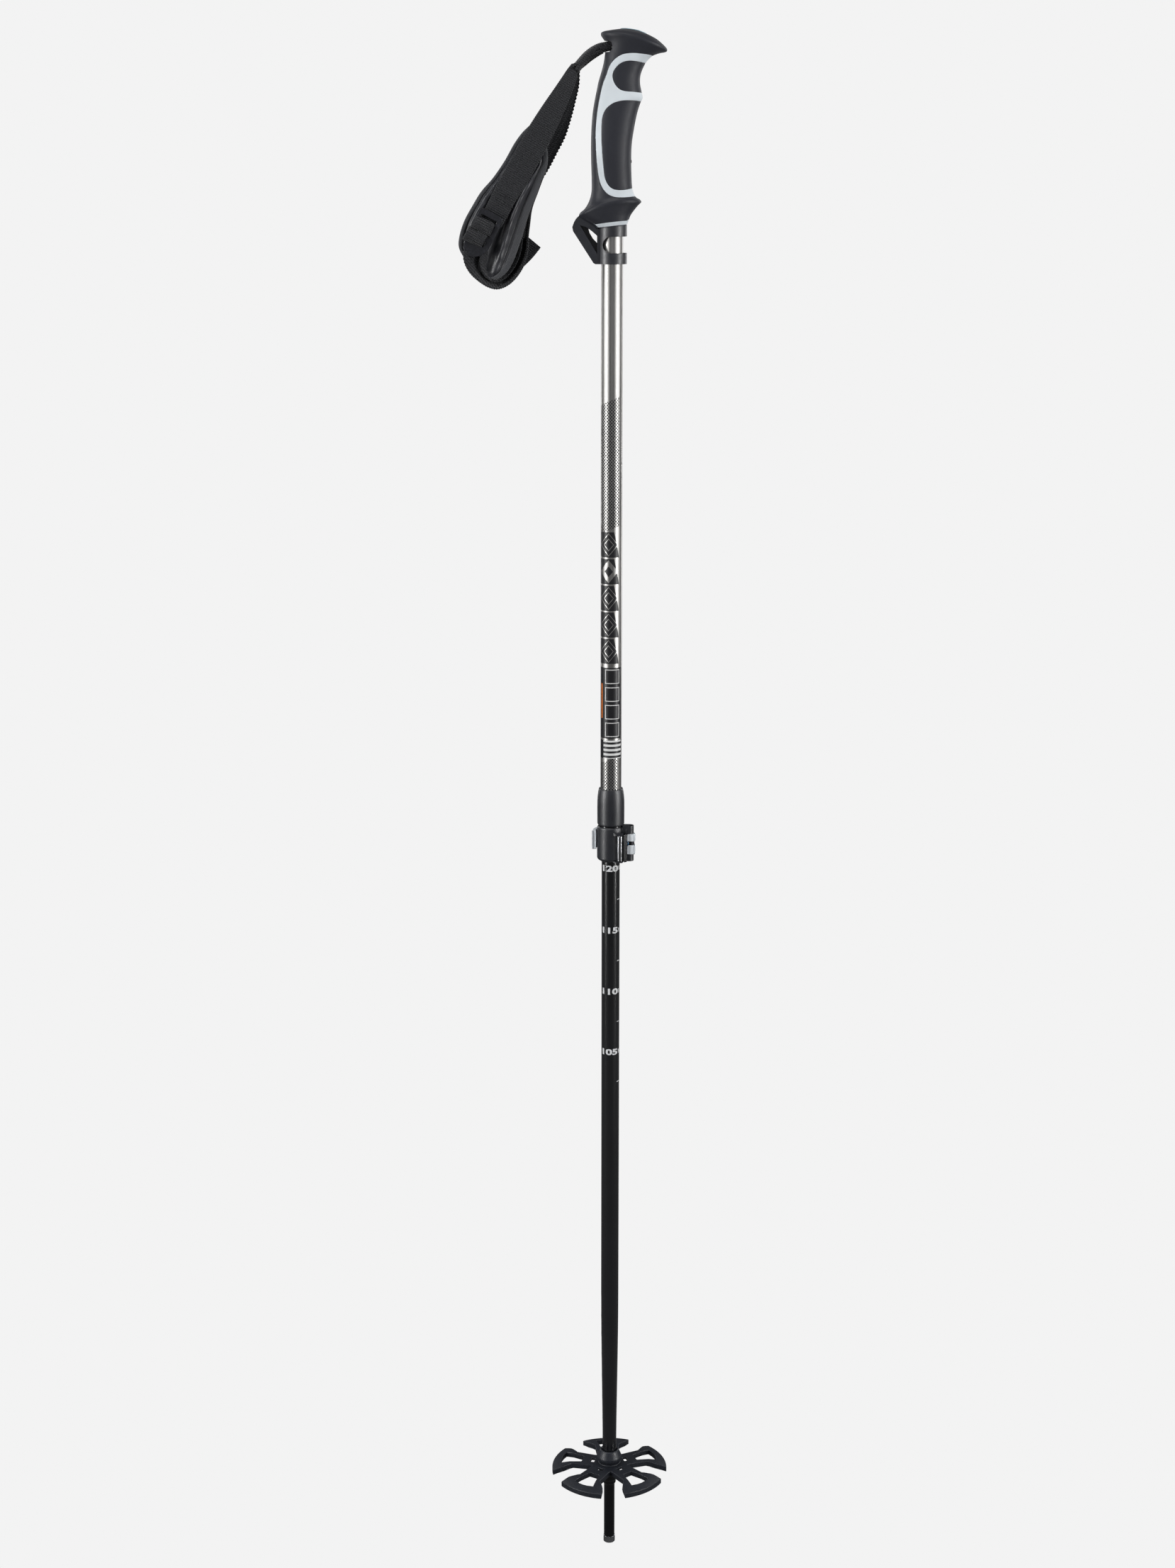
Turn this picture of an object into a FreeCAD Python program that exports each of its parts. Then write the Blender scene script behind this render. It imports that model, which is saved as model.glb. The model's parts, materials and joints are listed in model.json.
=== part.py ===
import FreeCAD, Part
import os
import math
from FreeCAD import Vector as V, Rotation, Placement

# Telescoping aluminium ski pole. Millimetres, +Z up the shaft.
# Origin: centre of the tip's end face. +X is the finger side of the grip,
# -X is the side of the wrist strap and of the binding hook.

# ---------------------------------------------------------------- dimensions
TIP_R = 4.70            # tip ferrule outside radius
TIP_H = 5.4             # ferrule height
STEM_R = 4.35           # plastic tip stem below the basket
SEAT_R = 5.40           # stem seat that the basket turns on
SEAT_Z0, SEAT_Z1 = 64.0, 79.0
SHANK_R = 4.85          # stem shank glued into the lower tube
SHANK_TOP = 112.0
RUN = 0.05              # radial running clearance of turning parts

LT_R = 7.00             # lower tube outside radius (14 mm tube)
LT_WALL = 1.00
LT_BOT, LT_TOP = 79.0, 932.0
UT_R = 8.00             # upper tube outside radius (16 mm tube)
UT_IR = 7.08            # upper tube bore
UT_BOT, UT_TOP = 589.5, 1157.0

BASKET_R = 47.0         # basket rim radius
BASKET_TOP = 71.5       # top face of the basket plate
BASKET_SKIN = 2.2       # plate thickness
BASKET_FLANGE = 4.4     # depth of the stiffening flange
BASKET_TURN = 3.4       # rotation of the leaves about the pole, degrees
LEAVES = 5

CLAMP_BOT, CLAMP_TOP = 586.5, 614.0
CLAMP_R = 10.6
SLEEVE_R = 8.8
COLLAR_BOT, COLLAR_TOP = 615.2, 643.9
COLLAR_R = 10.4
AXLE = (15.3, -2.6)     # lever axle, plan position
AXLE_R = 1.50
BARREL = (6.85, -9.75)  # barrel nut, plan position
BARREL_R = 2.30
LEVER_IN, LEVER_OUT = 11.35, 14.1
LEVER_Z0, LEVER_Z1 = 595.3, 610.6

GRIP_CORE_R = 9.2       # liner between the tube and the grip mouldings
GRIP_CORE_TOP = 1162.0
GRIP_SIDES = 28         # facets round each grip section
SLOT_Z = 1193.0         # strap slot in the back of the neck
ANCHOR = (-1.6, 1193.0) # strap anchor pin, x and z
STRAP_AXIS = (-9.2, 1190.6)  # where the strap leaves the slot, x and z

os.makedirs("parts", exist_ok=True)


# ------------------------------------------------------------------- helpers
def wire_pts(pts):
    vs = [V(*p) for p in pts]
    vs.append(vs[0])
    return Part.makePolygon(vs)


def face_pts(pts):
    return Part.Face(wire_pts(pts))


def revolve(profile):
    """Solid of revolution about Z from (r, z) points."""
    f = face_pts([(r, 0, z) for r, z in profile])
    return f.revolve(V(0, 0, 0), V(0, 0, 1), 360)


def cyl(r, z0, z1, x=0.0, y=0.0):
    return Part.makeCylinder(r, z1 - z0, V(x, y, z0), V(0, 0, 1))


def cyl_y(r, y0, y1, x, z):
    return Part.makeCylinder(r, y1 - y0, V(x, y0, z), V(0, 1, 0))


def box(x0, y0, z0, x1, y1, z1):
    return Part.makeBox(x1 - x0, y1 - y0, z1 - z0, V(x0, y0, z0))


def prism_xz(pts, y0, y1):
    """Polygon in the XZ plane, extruded along Y."""
    return face_pts([(x, y0, z) for x, z in pts]).extrude(V(0, y1 - y0, 0))


def prism_xy(pts, z0, z1):
    return face_pts([(x, y, z0) for x, y in pts]).extrude(V(0, 0, z1 - z0))


def solids_of(s):
    out = [x for x in s.Solids if x.Volume > 0.4]
    if not out:
        raise RuntimeError("no solid")
    return out[0] if len(out) == 1 else Part.makeCompound(out)


def biggest(s):
    return max(s.Solids, key=lambda q: q.Volume)


NODES = {}


def node(name, shape):
    shape = solids_of(shape)
    NODES[name] = shape
    shape.exportStep("parts/%s.step" % name)
    bb = shape.BoundBox
    print("%-22s solids %d valid %s vol %9.1f  x %7.2f %7.2f y %7.2f %7.2f z %8.2f %8.2f" % (
        name, len(shape.Solids), shape.isValid(), shape.Volume,
        bb.XMin, bb.XMax, bb.YMin, bb.YMax, bb.ZMin, bb.ZMax))


# ------------------------------------------------------------- lower section
lt_outer = [(5.65, LT_BOT), (5.65, 93.0), (5.80, 112.0), (6.08, 131.0), (6.36, 150.0),
            (6.60, 169.0), (6.82, 187.0), (6.95, 203.0), (LT_R, 222.0), (LT_R, LT_TOP - 0.4),
            (LT_R - 0.4, LT_TOP)]
lt_inner = [(LT_R - LT_WALL, LT_TOP), (LT_R - LT_WALL, 215.0), (5.30, 150.0),
            (SHANK_R, 114.0), (SHANK_R, LT_BOT)]
node("lower_tube", revolve(lt_outer + lt_inner))

node("lower_tube_plug", revolve([
    (0, LT_TOP - 14), (LT_R - LT_WALL, LT_TOP - 14), (LT_R - LT_WALL, LT_TOP),
    (UT_IR - 0.03, LT_TOP), (UT_IR - 0.03, LT_TOP + 2.6), (UT_IR - 0.6, LT_TOP + 3.2),
    (0, LT_TOP + 3.2)]))

node("tip_stem", revolve([
    (1.9, 1.2), (3.6, 1.2), (3.6, TIP_H), (STEM_R, TIP_H), (STEM_R, 52.0), (STEM_R + 0.3, 53.0),
    (5.35, 54.2), (5.35, 56.2), (6.3, 58.0), (6.3, SEAT_Z0), (SEAT_R, SEAT_Z0),
    (SEAT_R, SEAT_Z1), (SHANK_R, SEAT_Z1), (SHANK_R, SHANK_TOP - 1.5),
    (SHANK_R - 0.8, SHANK_TOP), (0, SHANK_TOP), (0, 8.0), (1.9, 8.0)]))

node("tip_ferrule", revolve([
    (1.9, 0.9), (2.6, 0.0), (TIP_R - 0.35, 0.0), (TIP_R - 0.1, 0.1), (TIP_R, 0.35),
    (TIP_R, TIP_H - 0.3), (TIP_R - 0.3, TIP_H),
    (3.6, TIP_H), (3.6, 1.2), (1.9, 1.2)]))

node("carbide_tip", revolve([
    (0, 0.75), (0.5, 0.35), (1.4, 0.35), (1.9, 0.9), (1.9, 8.0), (0, 8.0)]))

# -------------------------------------------------------------------- basket
leaf = [(0.0, -9.3), (15.5, -8.9), (29.5, -9.9), (36.5, -16.6), (42.9, -19.2)]


def leaf_outline(inset=0.0):
    """Plan outline of one leaf along +X, mirrored about its own line."""
    R = BASKET_R - inset
    low = [(x - (inset if i > 1 else 0), y + inset) for i, (x, y) in enumerate(leaf)]
    a0 = math.asin(abs(low[-1][1]) / R)
    arc = []
    for k in range(13):
        t = -a0 + 2 * a0 * k / 12.0
        arc.append((R * math.cos(t), R * math.sin(t)))
    up = [(x, -y) for x, y in reversed(low[:-1])]
    return low[:-1] + arc + up


def leaf_window(grow=0.0):
    return [(22.6 - grow, -4.4 - grow), (38.6 + grow, -8.6 - grow),
            (39.9 + grow, -4.0), (40.3 + grow, 0.0), (39.9 + grow, 4.0),
            (38.6 + grow, 8.6 + grow), (22.6 - grow, 4.4 + grow)]


def leaf_hole():
    return [(12.3, -2.9), (15.6, -2.9), (15.6, 2.9), (12.3, 2.9)]


def all_leaves(fn, z0, z1):
    out = None
    for i in range(LEAVES):
        s = prism_xy(fn, z0, z1)
        s.rotate(V(0, 0, 0), V(0, 0, 1), 18.0 + BASKET_TURN + i * 360.0 / LEAVES)
        out = s if out is None else out.fuse(s)
    return out


bt = BASKET_TOP
droop = 3.4
# dished envelope: flat at the hub, bent down over the rim
skin_full = revolve([(0, bt), (33.0, bt), (38.0, bt - 0.7), (43.0, bt - 2.0), (49.0, bt - droop - 0.6),
                     (49.0, bt - droop - 0.6 - BASKET_FLANGE), (43.0, bt - 2.0 - BASKET_FLANGE),
                     (38.0, bt - 0.7 - BASKET_FLANGE), (33.0, bt - BASKET_FLANGE), (0, bt - BASKET_FLANGE)])
skin_low = revolve([(0, bt - BASKET_SKIN), (33.0, bt - BASKET_SKIN), (38.0, bt - 0.7 - BASKET_SKIN),
                    (43.0, bt - 2.0 - BASKET_SKIN), (49.0, bt - droop - 0.6 - BASKET_SKIN),
                    (49.0, bt - 20), (0, bt - 20)])
outline = all_leaves(leaf_outline(0.0), bt - 15, bt + 2).fuse(cyl(13.6, bt - 15, bt + 2))
inner = all_leaves(leaf_outline(1.7), bt - 15, bt + 2).fuse(cyl(12.2, bt - 15, bt + 2))
windows = all_leaves(leaf_window(0.0), bt - 15, bt + 2)
win_wall = all_leaves(leaf_window(1.5), bt - 15, bt + 2)
holes = all_leaves(leaf_hole(), bt - 15, bt + 2)
pocket = inner.cut(win_wall).common(skin_low)
basket = outline.common(skin_full).cut(pocket).cut(windows).cut(holes)
boss = cyl(8.6, SEAT_Z0 + 0.1, bt)
basket = basket.fuse(boss).cut(cyl(SEAT_R + RUN, bt - 20, bt + 3)).removeSplitter()
node("basket", basket)

node("basket_ring", revolve([(SEAT_R + RUN, bt), (8.9, bt), (9.2, bt + 0.3), (9.2, bt + 1.1),
                             (8.9, bt + 1.4), (SEAT_R + RUN, bt + 1.4)]))
node("basket_collar", revolve([
    (SEAT_R + RUN, bt + 1.4), (8.3, bt + 1.4), (8.3, bt + 2.0), (9.5, bt + 3.0), (10.05, bt + 4.6),
    (10.05, bt + 6.2), (9.7, bt + 7.0), (7.7, bt + 11.8), (7.2, bt + 12.3), (6.4, bt + 12.3),
    (5.72, bt + 11.4), (5.72, SEAT_Z1 - 0.1), (SEAT_R + RUN, SEAT_Z1 - 0.1)]))

# ----------------------------------------------------------------- upper tube
node("upper_tube", revolve([(UT_IR, UT_BOT), (UT_R - 0.3, UT_BOT), (UT_R, UT_BOT + 0.3),
                            (UT_R, UT_TOP), (UT_IR, UT_TOP)]))
node("upper_tube_plug", revolve([(0, UT_TOP - 12), (UT_IR, UT_TOP - 12), (UT_IR, UT_TOP),
                                 (UT_R, UT_TOP), (UT_R, UT_TOP + 2.0), (0, UT_TOP + 2.0)]))

# -------------------------------------------------------------- lock assembly
node("lock_collar", revolve([
    (9.7, COLLAR_BOT), (10.2, COLLAR_BOT + 0.35), (COLLAR_R, COLLAR_BOT + 1.0), (COLLAR_R + 0.05, 627.0),
    (COLLAR_R, 634.0), (10.15, 638.0), (9.75, 641.2), (9.35, 643.2), (9.1, COLLAR_TOP), (UT_R, COLLAR_TOP),
    (UT_R, 622.0), (SLEEVE_R, 622.0), (SLEEVE_R, COLLAR_BOT)]))

node("clamp_sleeve", revolve([
    (UT_R, 588.6), (SLEEVE_R, 588.6), (SLEEVE_R, CLAMP_TOP), (9.6, CLAMP_TOP), (9.6, COLLAR_BOT),
    (SLEEVE_R, COLLAR_BOT), (SLEEVE_R, 622.0), (UT_R, 622.0)]))

cb = revolve([(LT_R + 0.35, CLAMP_BOT), (8.2, CLAMP_BOT), (9.7, CLAMP_BOT + 0.9), (10.35, CLAMP_BOT + 1.7),
              (CLAMP_R, CLAMP_BOT + 2.6),
              (CLAMP_R, CLAMP_TOP - 1.4), (10.35, CLAMP_TOP - 0.6), (9.9, CLAMP_TOP),
              (SLEEVE_R, CLAMP_TOP), (SLEEVE_R, 588.6), (LT_R + 0.35, 588.6)])
ax, ay = AXLE
bx, by = BARREL
# saddle of the barrel nut on the front of the sleeve, with a shoulder at each end
seat_end = [(1.5, -10.2), (2.6, -11.3), (4.4, -12.0), (7.6, -12.1), (9.0, -11.8), (9.9, -6.0), (7.0, -5.0)]
seat = prism_xy([(4.2, -9.9), (9.7, -9.9), (9.9, -6.0), (7.0, -5.0)], CLAMP_BOT + 0.8, CLAMP_TOP - 3.8)
seat = seat.fuse(prism_xy(seat_end, 608.6, CLAMP_TOP - 3.4))
seat = seat.fuse(prism_xy(seat_end, CLAMP_BOT + 0.6, CLAMP_BOT + 1.6))
# rear ear that carries the lever lugs
ear = prism_xy([(9.3, -4.9), (12.1, -6.4), (12.1, 1.6), (9.0, 3.6), (7.5, 3.0), (7.5, -4.0)], CLAMP_BOT + 0.3, 612.5)


def lug(z0, z1):
    s = prism_xy([(9.0, ay - 3.2), (ax - 0.6, ay - 3.3), (ax - 0.6, ay + 3.3), (9.0, ay + 3.8)], z0, z1)
    return s.fuse(cyl(3.3, z0, z1, ax - 0.9, ay)).fuse(cyl(2.2, z0, z1, ax - 0.6, ay))


cb = cb.fuse(seat).fuse(ear).fuse(lug(608.7, 614.9)).fuse(lug(586.9, 592.0))
# keep the inside clear, cut the slit, the barrel seat, the axle holes and the bolt slot
cb = cb.cut(cyl(SLEEVE_R, 588.6, CLAMP_TOP + 3)).cut(cyl(LT_R + 0.35, 580, 589))
cb = cb.cut(cyl(BARREL_R, CLAMP_BOT + 1.6, 608.6, bx, by))
cb = cb.cut(box(bx - 1.0, by - 4.5, CLAMP_BOT + 1.6, bx + 4.5, by - 0.9, 608.6))
slit = box(0.0, -0.55, 580, 14.0, 0.55, 620)
slit.rotate(V(0, 0, 0), V(0, 0, 1), -40.0)
cb = cb.cut(slit)
cb = cb.cut(cyl(AXLE_R + RUN, 580, 620, ax, ay))
cb = cb.cut(cyl(4.9, 592.0, 608.7, ax, ay))
cb = cb.cut(cyl(9.7, CLAMP_TOP, 620))
# slot for the bolt and room for the pressure plate
bolt_dir = V(ax - bx, ay - by, 0)
L_bolt = bolt_dir.Length
bang = math.degrees(math.atan2(bolt_dir.y, bolt_dir.x))
slot = box(-4.0, -1.75, 599.2, L_bolt + 2, 1.75, 602.9)
slot.rotate(V(0, 0, 0), V(0, 0, 1), bang)
slot.translate(V(bx, by, 0))
cb = cb.cut(slot)
plate = prism_xy([(9.95, -11.4), (12.2, -10.2), (12.2, -6.55), (9.95, -5.15)], CLAMP_BOT + 0.9, 609.4)
plate = plate.cut(cyl(4.0, 580, 620, ax, ay))
cb = cb.cut(prism_xy([(9.9, -11.5), (13.2, -10.9), (13.2, -6.5), (12.15, -6.5), (9.9, -5.05)], CLAMP_BOT + 0.8, 609.5))
node("clamp_body", biggest(cb))
plate = plate.cut(slot)
node("pressure_plate", biggest(plate))

barrel = cyl(BARREL_R, CLAMP_BOT + 1.7, 608.5, bx, by)
barrel = barrel.makeChamfer(0.35, [e for e in barrel.Edges if abs(e.Length - 2 * math.pi * BARREL_R) < 0.01])
bolt_bore = Part.makeCylinder(1.25, 30, V(bx, by, 601.05) - bolt_dir.normalize() * 1.4, bolt_dir)
barrel = barrel.cut(bolt_bore)
node("barrel_nut", barrel)

bd = V(ax - bx, ay - by, 0)
bd.normalize()
bolt = Part.makeCylinder(1.25, L_bolt - 1.2, V(bx, by, 601.05) - bd * 1.4, bd)
eye = cyl(2.9, 599.75, 602.35, ax, ay)
bolt = bolt.fuse(eye).cut(cyl(AXLE_R + RUN, 590, 610, ax, ay))
node("eye_bolt", biggest(bolt))

axle = cyl(AXLE_R, 588.0, 613.6, ax, ay)
node("lever_axle", axle)


def arc_band(r0, r1, a0, a1, z0, z1, cx=0.0, cy=0.0, n=36):
    o = [(cx + r1 * math.cos(math.radians(a0 + (a1 - a0) * k / n)),
          cy + r1 * math.sin(math.radians(a0 + (a1 - a0) * k / n))) for k in range(n + 1)]
    i = [(cx + r0 * math.cos(math.radians(a0 + (a1 - a0) * k / n)),
          cy + r0 * math.sin(math.radians(a0 + (a1 - a0) * k / n))) for k in range(n, -1, -1)]
    return prism_xy(o + i, z0, z1)


def knuckle(z0, z1):
    k = cyl(3.75, z0, z1, ax, ay)
    k = k.fuse(prism_xy([(ax - 2.6, ay - 3.5), (ax + 3.4, ay - 3.3), (ax + 3.6, ay + 1.5),
                         (ax + 1.5, ay + 6.5), (ax - 1.5, ay + 8.5), (ax - 2.9, ay + 5.0)], z0, z1))
    return k


lever = arc_band(LEVER_IN, LEVER_OUT, 22.0, 184.0, LEVER_Z0, LEVER_Z1)
lever = lever.fuse(arc_band(LEVER_IN + 1.2, LEVER_OUT + 1.6, 8.0, 30.0, 592.3, 608.4))
lever = lever.fuse(knuckle(602.6, 608.4)).fuse(knuckle(592.3, 599.5))
lever = lever.cut(cyl(AXLE_R, 580, 620, ax, ay))
lever = lever.cut(cyl(CLAMP_R + 0.35, 580, 620))
# finger lip at the free end
lip = prism_xy([(-14.1, -0.9), (-11.6, -0.9), (-11.6, 1.6), (-13.9, 1.9)], LEVER_Z0, LEVER_Z1)
lever = lever.fuse(lip).removeSplitter()
lever = lever.cut(cyl(3.9, 599.5, 602.6, ax, ay))
node("cam_lever", biggest(lever))

# ------------------------------------------------------------- heel-lift hook
hz0, hz1 = 1039.5, 1065.1
sleeve = cyl(10.75, hz0, 1069.5)
top_cut = prism_xz([(-40, 1064.4), (-9.9, 1065.05), (10.8, 1067.3), (40, 1068.5), (40, 1090), (-40, 1090)], -30, 30)
hook = prism_xz([(-24.7, 1073.4), (-26.4, 1071.7), (-27.9, 1069.2), (-29.1, 1065.9), (-28.5, 1063.0), (-13.6, 1040.2),
                 (-12.2, 1039.5), (-3.0, 1039.5), (-3.0, 1064.6), (-11.6, 1064.7), (-13.8, 1067.15), (-19.2, 1070.15), (-23.0, 1072.35)], -6.5, 6.5)
lifter = sleeve.cut(top_cut).fuse(hook)
win = prism_xz([(-23.5, 1067.3), (-19.0, 1066.1), (-14.6, 1062.9), (-11.0, 1059.8), (-11.0, 1046.9)], -10, 10)
lifter = lifter.cut(win)
# web that closes the lower side of the window towards the rear face, with a raised lip
web = prism_xz([(-23.5, 1067.3), (-19.0, 1066.1), (-17.4, 1064.9), (-16.4, 1061.4), (-14.0, 1057.4), (-11.0, 1054.4), (-11.0, 1046.9)], 2.4, 6.5)
lip_rib = prism_xz([(-19.4, 1066.2), (-17.6, 1065.0), (-16.9, 1061.6), (-14.6, 1057.3), (-11.0, 1053.6), (-11.0, 1052.3), (-15.4, 1056.9), (-18.0, 1061.8)], 0.9, 2.4)
lifter = lifter.fuse(web).fuse(lip_rib)
side_win = prism_xz([(-1.0, 1047.3), (30, 1047.3), (30, 1059.2), (-1.0, 1059.2)], -20, 20)
side_win = side_win.fuse(cyl_y(5.95, -20, 20, -1.0, 1053.25))
lifter = lifter.cut(side_win).cut(cyl(UT_R, 1000, 1100))
node("heel_lift_hook", biggest(lifter))

# ----------------------------------------------------------------------- grip
# section end points on the back (L) and front (R) outline, with half widths
PAIRS = [
    ((-11.31, 1065.48), (10.95, 1067.83), 11.0),
    ((-13.92, 1067.67), (12.02, 1070.59), 12.4),
    ((-19.13, 1070.54), (13.84, 1074.86), 13.6),
    ((-22.98, 1072.83), (18.79, 1081.21), 14.9),
    ((-24.21, 1074.32), (21.27, 1083.77), 15.5),
    ((-23.25, 1076.08), (20.17, 1085.39), 15.3),
    ((-20.22, 1078.64), (17.70, 1086.74), 14.4),
    ((-17.19, 1083.50), (15.78, 1089.44), 13.5),
    ((-15.26, 1089.98), (14.55, 1093.75), 13.1),
    ((-14.97, 1098.59), (14.01, 1101.29), 13.1),
    ((-15.37, 1112.04), (13.75, 1113.38), 13.3),
    ((-15.49, 1122.77), (14.04, 1124.11), 13.5),
    ((-15.20, 1134.82), (15.57, 1134.82), 13.7),
    ((-14.22, 1146.85), (18.06, 1146.85), 13.6),
    ((-12.98, 1154.32), (20.26, 1153.52), 13.4),
    ((-12.15, 1158.58), (21.78, 1156.98), 13.3),
    ((-11.32, 1162.31), (20.96, 1161.25), 13.1),
    ((-10.21, 1167.63), (19.87, 1167.10), 12.8),
    ((-8.97, 1171.89), (20.15, 1172.42), 12.6),
    ((-7.59, 1176.41), (21.67, 1176.94), 12.5),
    ((-6.35, 1181.45), (24.42, 1181.98), 12.6),
    ((-5.52, 1186.76), (28.27, 1185.70), 13.0),
    ((-5.00, 1192.06), (31.60, 1187.15), 14.0),
    ((-5.40, 1195.60), (34.60, 1188.00), 15.0),
    ((-6.80, 1197.89), (37.40, 1188.45), 15.6),
    ((-8.25, 1200.00), (39.13, 1189.30), 16.0),
    ((-8.38, 1201.66), (39.13, 1190.81), 15.9),
    ((-6.87, 1202.78), (37.35, 1192.89), 15.0),
    ((-2.47, 1203.71), (32.41, 1197.09), 13.2),
    ((2.20, 1204.37), (26.92, 1200.14), 10.6),
    ((6.87, 1204.90), (19.51, 1203.18), 6.6),
]


def section(L, R, b, n=GRIP_SIDES, power=2.25):
    """Closed section in the plane of the line L-R and the Y direction."""
    cx, cz = (L[0] + R[0]) / 2, (L[1] + R[1]) / 2
    ux, uz = (R[0] - L[0]) / 2, (R[1] - L[1]) / 2
    a = math.hypot(ux, uz)
    ux, uz = ux / a, uz / a
    pts = []
    for k in range(n):
        t = 2 * math.pi * k / n
        c, s = math.cos(t), math.sin(t)
        pc = math.copysign(abs(c) ** (2 / power), c)
        ps = math.copysign(abs(s) ** (2 / power), s)
        pts.append(V(cx + ux * a * pc, b * ps, cz + uz * a * pc))
    return pts


def facet_loft(pairs, n=GRIP_SIDES):
    secs = [section(L, R, b, n) for L, R, b in pairs]
    faces = []
    for s0, s1 in zip(secs[:-1], secs[1:]):
        for k in range(n):
            m = (k + 1) % n
            faces.append(Part.Face(Part.makePolygon([s0[k], s0[m], s1[m], s0[k]])))
            faces.append(Part.Face(Part.makePolygon([s0[k], s1[m], s1[k], s0[k]])))
    faces.append(Part.Face(Part.makePolygon(list(reversed(secs[0])) + [secs[0][-1]])))
    faces.append(Part.Face(Part.makePolygon(secs[-1] + [secs[-1][0]])))
    s = Part.makeSolid(Part.makeShell(faces))
    if s.Volume < 0:
        s.reverse()
    return s


def line_prism(pts, far=60.0, y0=-30, y1=30):
    """Region to the +X side of a line in the XZ plane, all the way through."""
    p = [(x, y0, z) for x, z in pts] + [(far, y0, pts[-1][1]), (far, y0, pts[0][1])]
    return face_pts(p).extrude(V(0, y1 - y0, 0))


base_ring = facet_loft(PAIRS[0:2]).cut(cyl(UT_R, 1050, 1080))
body = facet_loft(PAIRS[1:])
core_cyl = cyl(GRIP_CORE_R, 1050, GRIP_CORE_TOP)
print("grip body valid", body.isValid(), body.Volume)

BAND = [(32.0, 1185.6), (28.96, 1186.02), (20.78, 1187.13), (13.94, 1187.55), (7.12, 1186.68), (2.53, 1184.27), (-0.66, 1181.19),
        (-2.51, 1178.11), (-4.77, 1171.94), (-7.05, 1166.2), (-8.88, 1158.69), (-10.81, 1148.34),
        (-11.84, 1139.13), (-12.18, 1131.15), (-11.97, 1123.15), (-11.38, 1113.3), (-10.43, 1104.67),
        (-9.18, 1098.49), (-6.99, 1093.56), (-3.2, 1089.52), (0.59, 1087.86), (5.01, 1087.27),
        (11.3, 1087.49), (16.66, 1087.85), (20.0, 1088.1)]
PADU = [(27.0, 1180.3), (23.95, 1180.84), (16.18, 1182.14), (11.65, 1182.41), (7.09, 1181.4), (2.99, 1178.53),
        (0.48, 1175.03), (-0.21, 1171.94), (0.48, 1168.41), (2.5, 1164.87), (5.25, 1162.44),
        (8.9, 1161.35), (16.18, 1160.82), (20.74, 1160.37), (24.0, 1160.1)]
PADL = [(24.0, 1153.9), (20.54, 1154.34), (14.55, 1154.96), (6.34, 1154.77), (0.04, 1152.93), (-4.38, 1149.57),
        (-6.59, 1145.89), (-7.55, 1142.2), (-8.06, 1131.15), (-7.58, 1119.47), (-6.64, 1108.98),
        (-5.38, 1100.34), (-3.19, 1096.01), (-0.04, 1093.24), (4.39, 1092.29), (9.41, 1092.48),
        (14.47, 1093.42), (19.0, 1094.4)]
band = line_prism(BAND)
padu = line_prism(PADU)
padl = line_prism(PADL)

slot_cut = box(-20, -6.2, SLOT_Z - 5.2, 2.6, 6.2, SLOT_Z + 4.4)
pin_hole = cyl_y(1.6, -9.8, 9.8, ANCHOR[0], ANCHOR[1])

shell = body.cut(band).cut(core_cyl).cut(slot_cut).cut(pin_hole)
skin = body.common(band)
pad_up = skin.common(padu).cut(core_cyl)
pad_lo = skin.common(padl).cut(core_cyl)
inlay_band = skin.cut(padu).cut(padl).cut(core_cyl)
# inlay set into the crest of the thumb rest
cap_oval = [(14.0 + 7.2 * math.cos(math.radians(a)), 4.2 * math.sin(math.radians(a))) for a in range(0, 360, 15)]
oval = prism_xy(cap_oval, 1195, 1215)
low = body.copy()
low.translate(V(0, 0, -0.8))
inlay = body.common(oval).cut(low)
shell = shell.cut(inlay)
# liner with the stepped lower end that fits inside the base ring
liner = revolve([(UT_R, 1069.2), (GRIP_CORE_R, 1071.6), (GRIP_CORE_R, GRIP_CORE_TOP), (0, GRIP_CORE_TOP),
                 (0, UT_TOP + 2.0), (UT_R, UT_TOP + 2.0)])
shell = shell.cut(cyl(GRIP_CORE_R, 1050, 1075))
liner = liner.common(body)
node("grip_shell", biggest(shell))
node("grip_liner", biggest(liner))
node("grip_inlay", biggest(inlay_band))
node("finger_pad_upper", biggest(pad_up))
node("finger_pad_lower", biggest(pad_lo))
node("grip_base_ring", base_ring)
node("cap_inlay", biggest(inlay))
node("strap_anchor_pin", cyl_y(1.6, -9.8, 9.8, ANCHOR[0], ANCHOR[1]))

# ---------------------------------------------------------------- wrist strap
# webbing loop held by the pin inside the slot
loop = cyl_y(3.5, -5.2, 5.2, ANCHOR[0], ANCHOR[1]).fuse(
    prism_xz([(ANCHOR[0] - 0.5, ANCHOR[1] + 3.45), (ANCHOR[0], ANCHOR[1] - 3.5), (-6.3, 1188.6), (-6.0, 1194.9)], -5.2, 5.2))
loop = loop.cut(cyl_y(1.6, -12, 12, ANCHOR[0], ANCHOR[1])).cut(cyl_y(3.45, -12, 12, STRAP_AXIS[0], STRAP_AXIS[1]))
node("strap_anchor_loop", biggest(loop))

sx, sz = STRAP_AXIS
root = cyl_y(3.4, -5.4, 5.4, sx, sz)
root = root.fuse(prism_xz([(sx + 0.5, sz + 3.35), (-12.6, 1193.4), (-19.5, 1188.6), (-25.0, 1184.6), (-28.3, 1181.6),
                           (-23.2, 1176.2), (-20.5, 1180.2), (-14.5, 1184.8), (sx - 0.5, sz - 3.35)], -5.4, 5.4))
node("strap_root", root)

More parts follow.
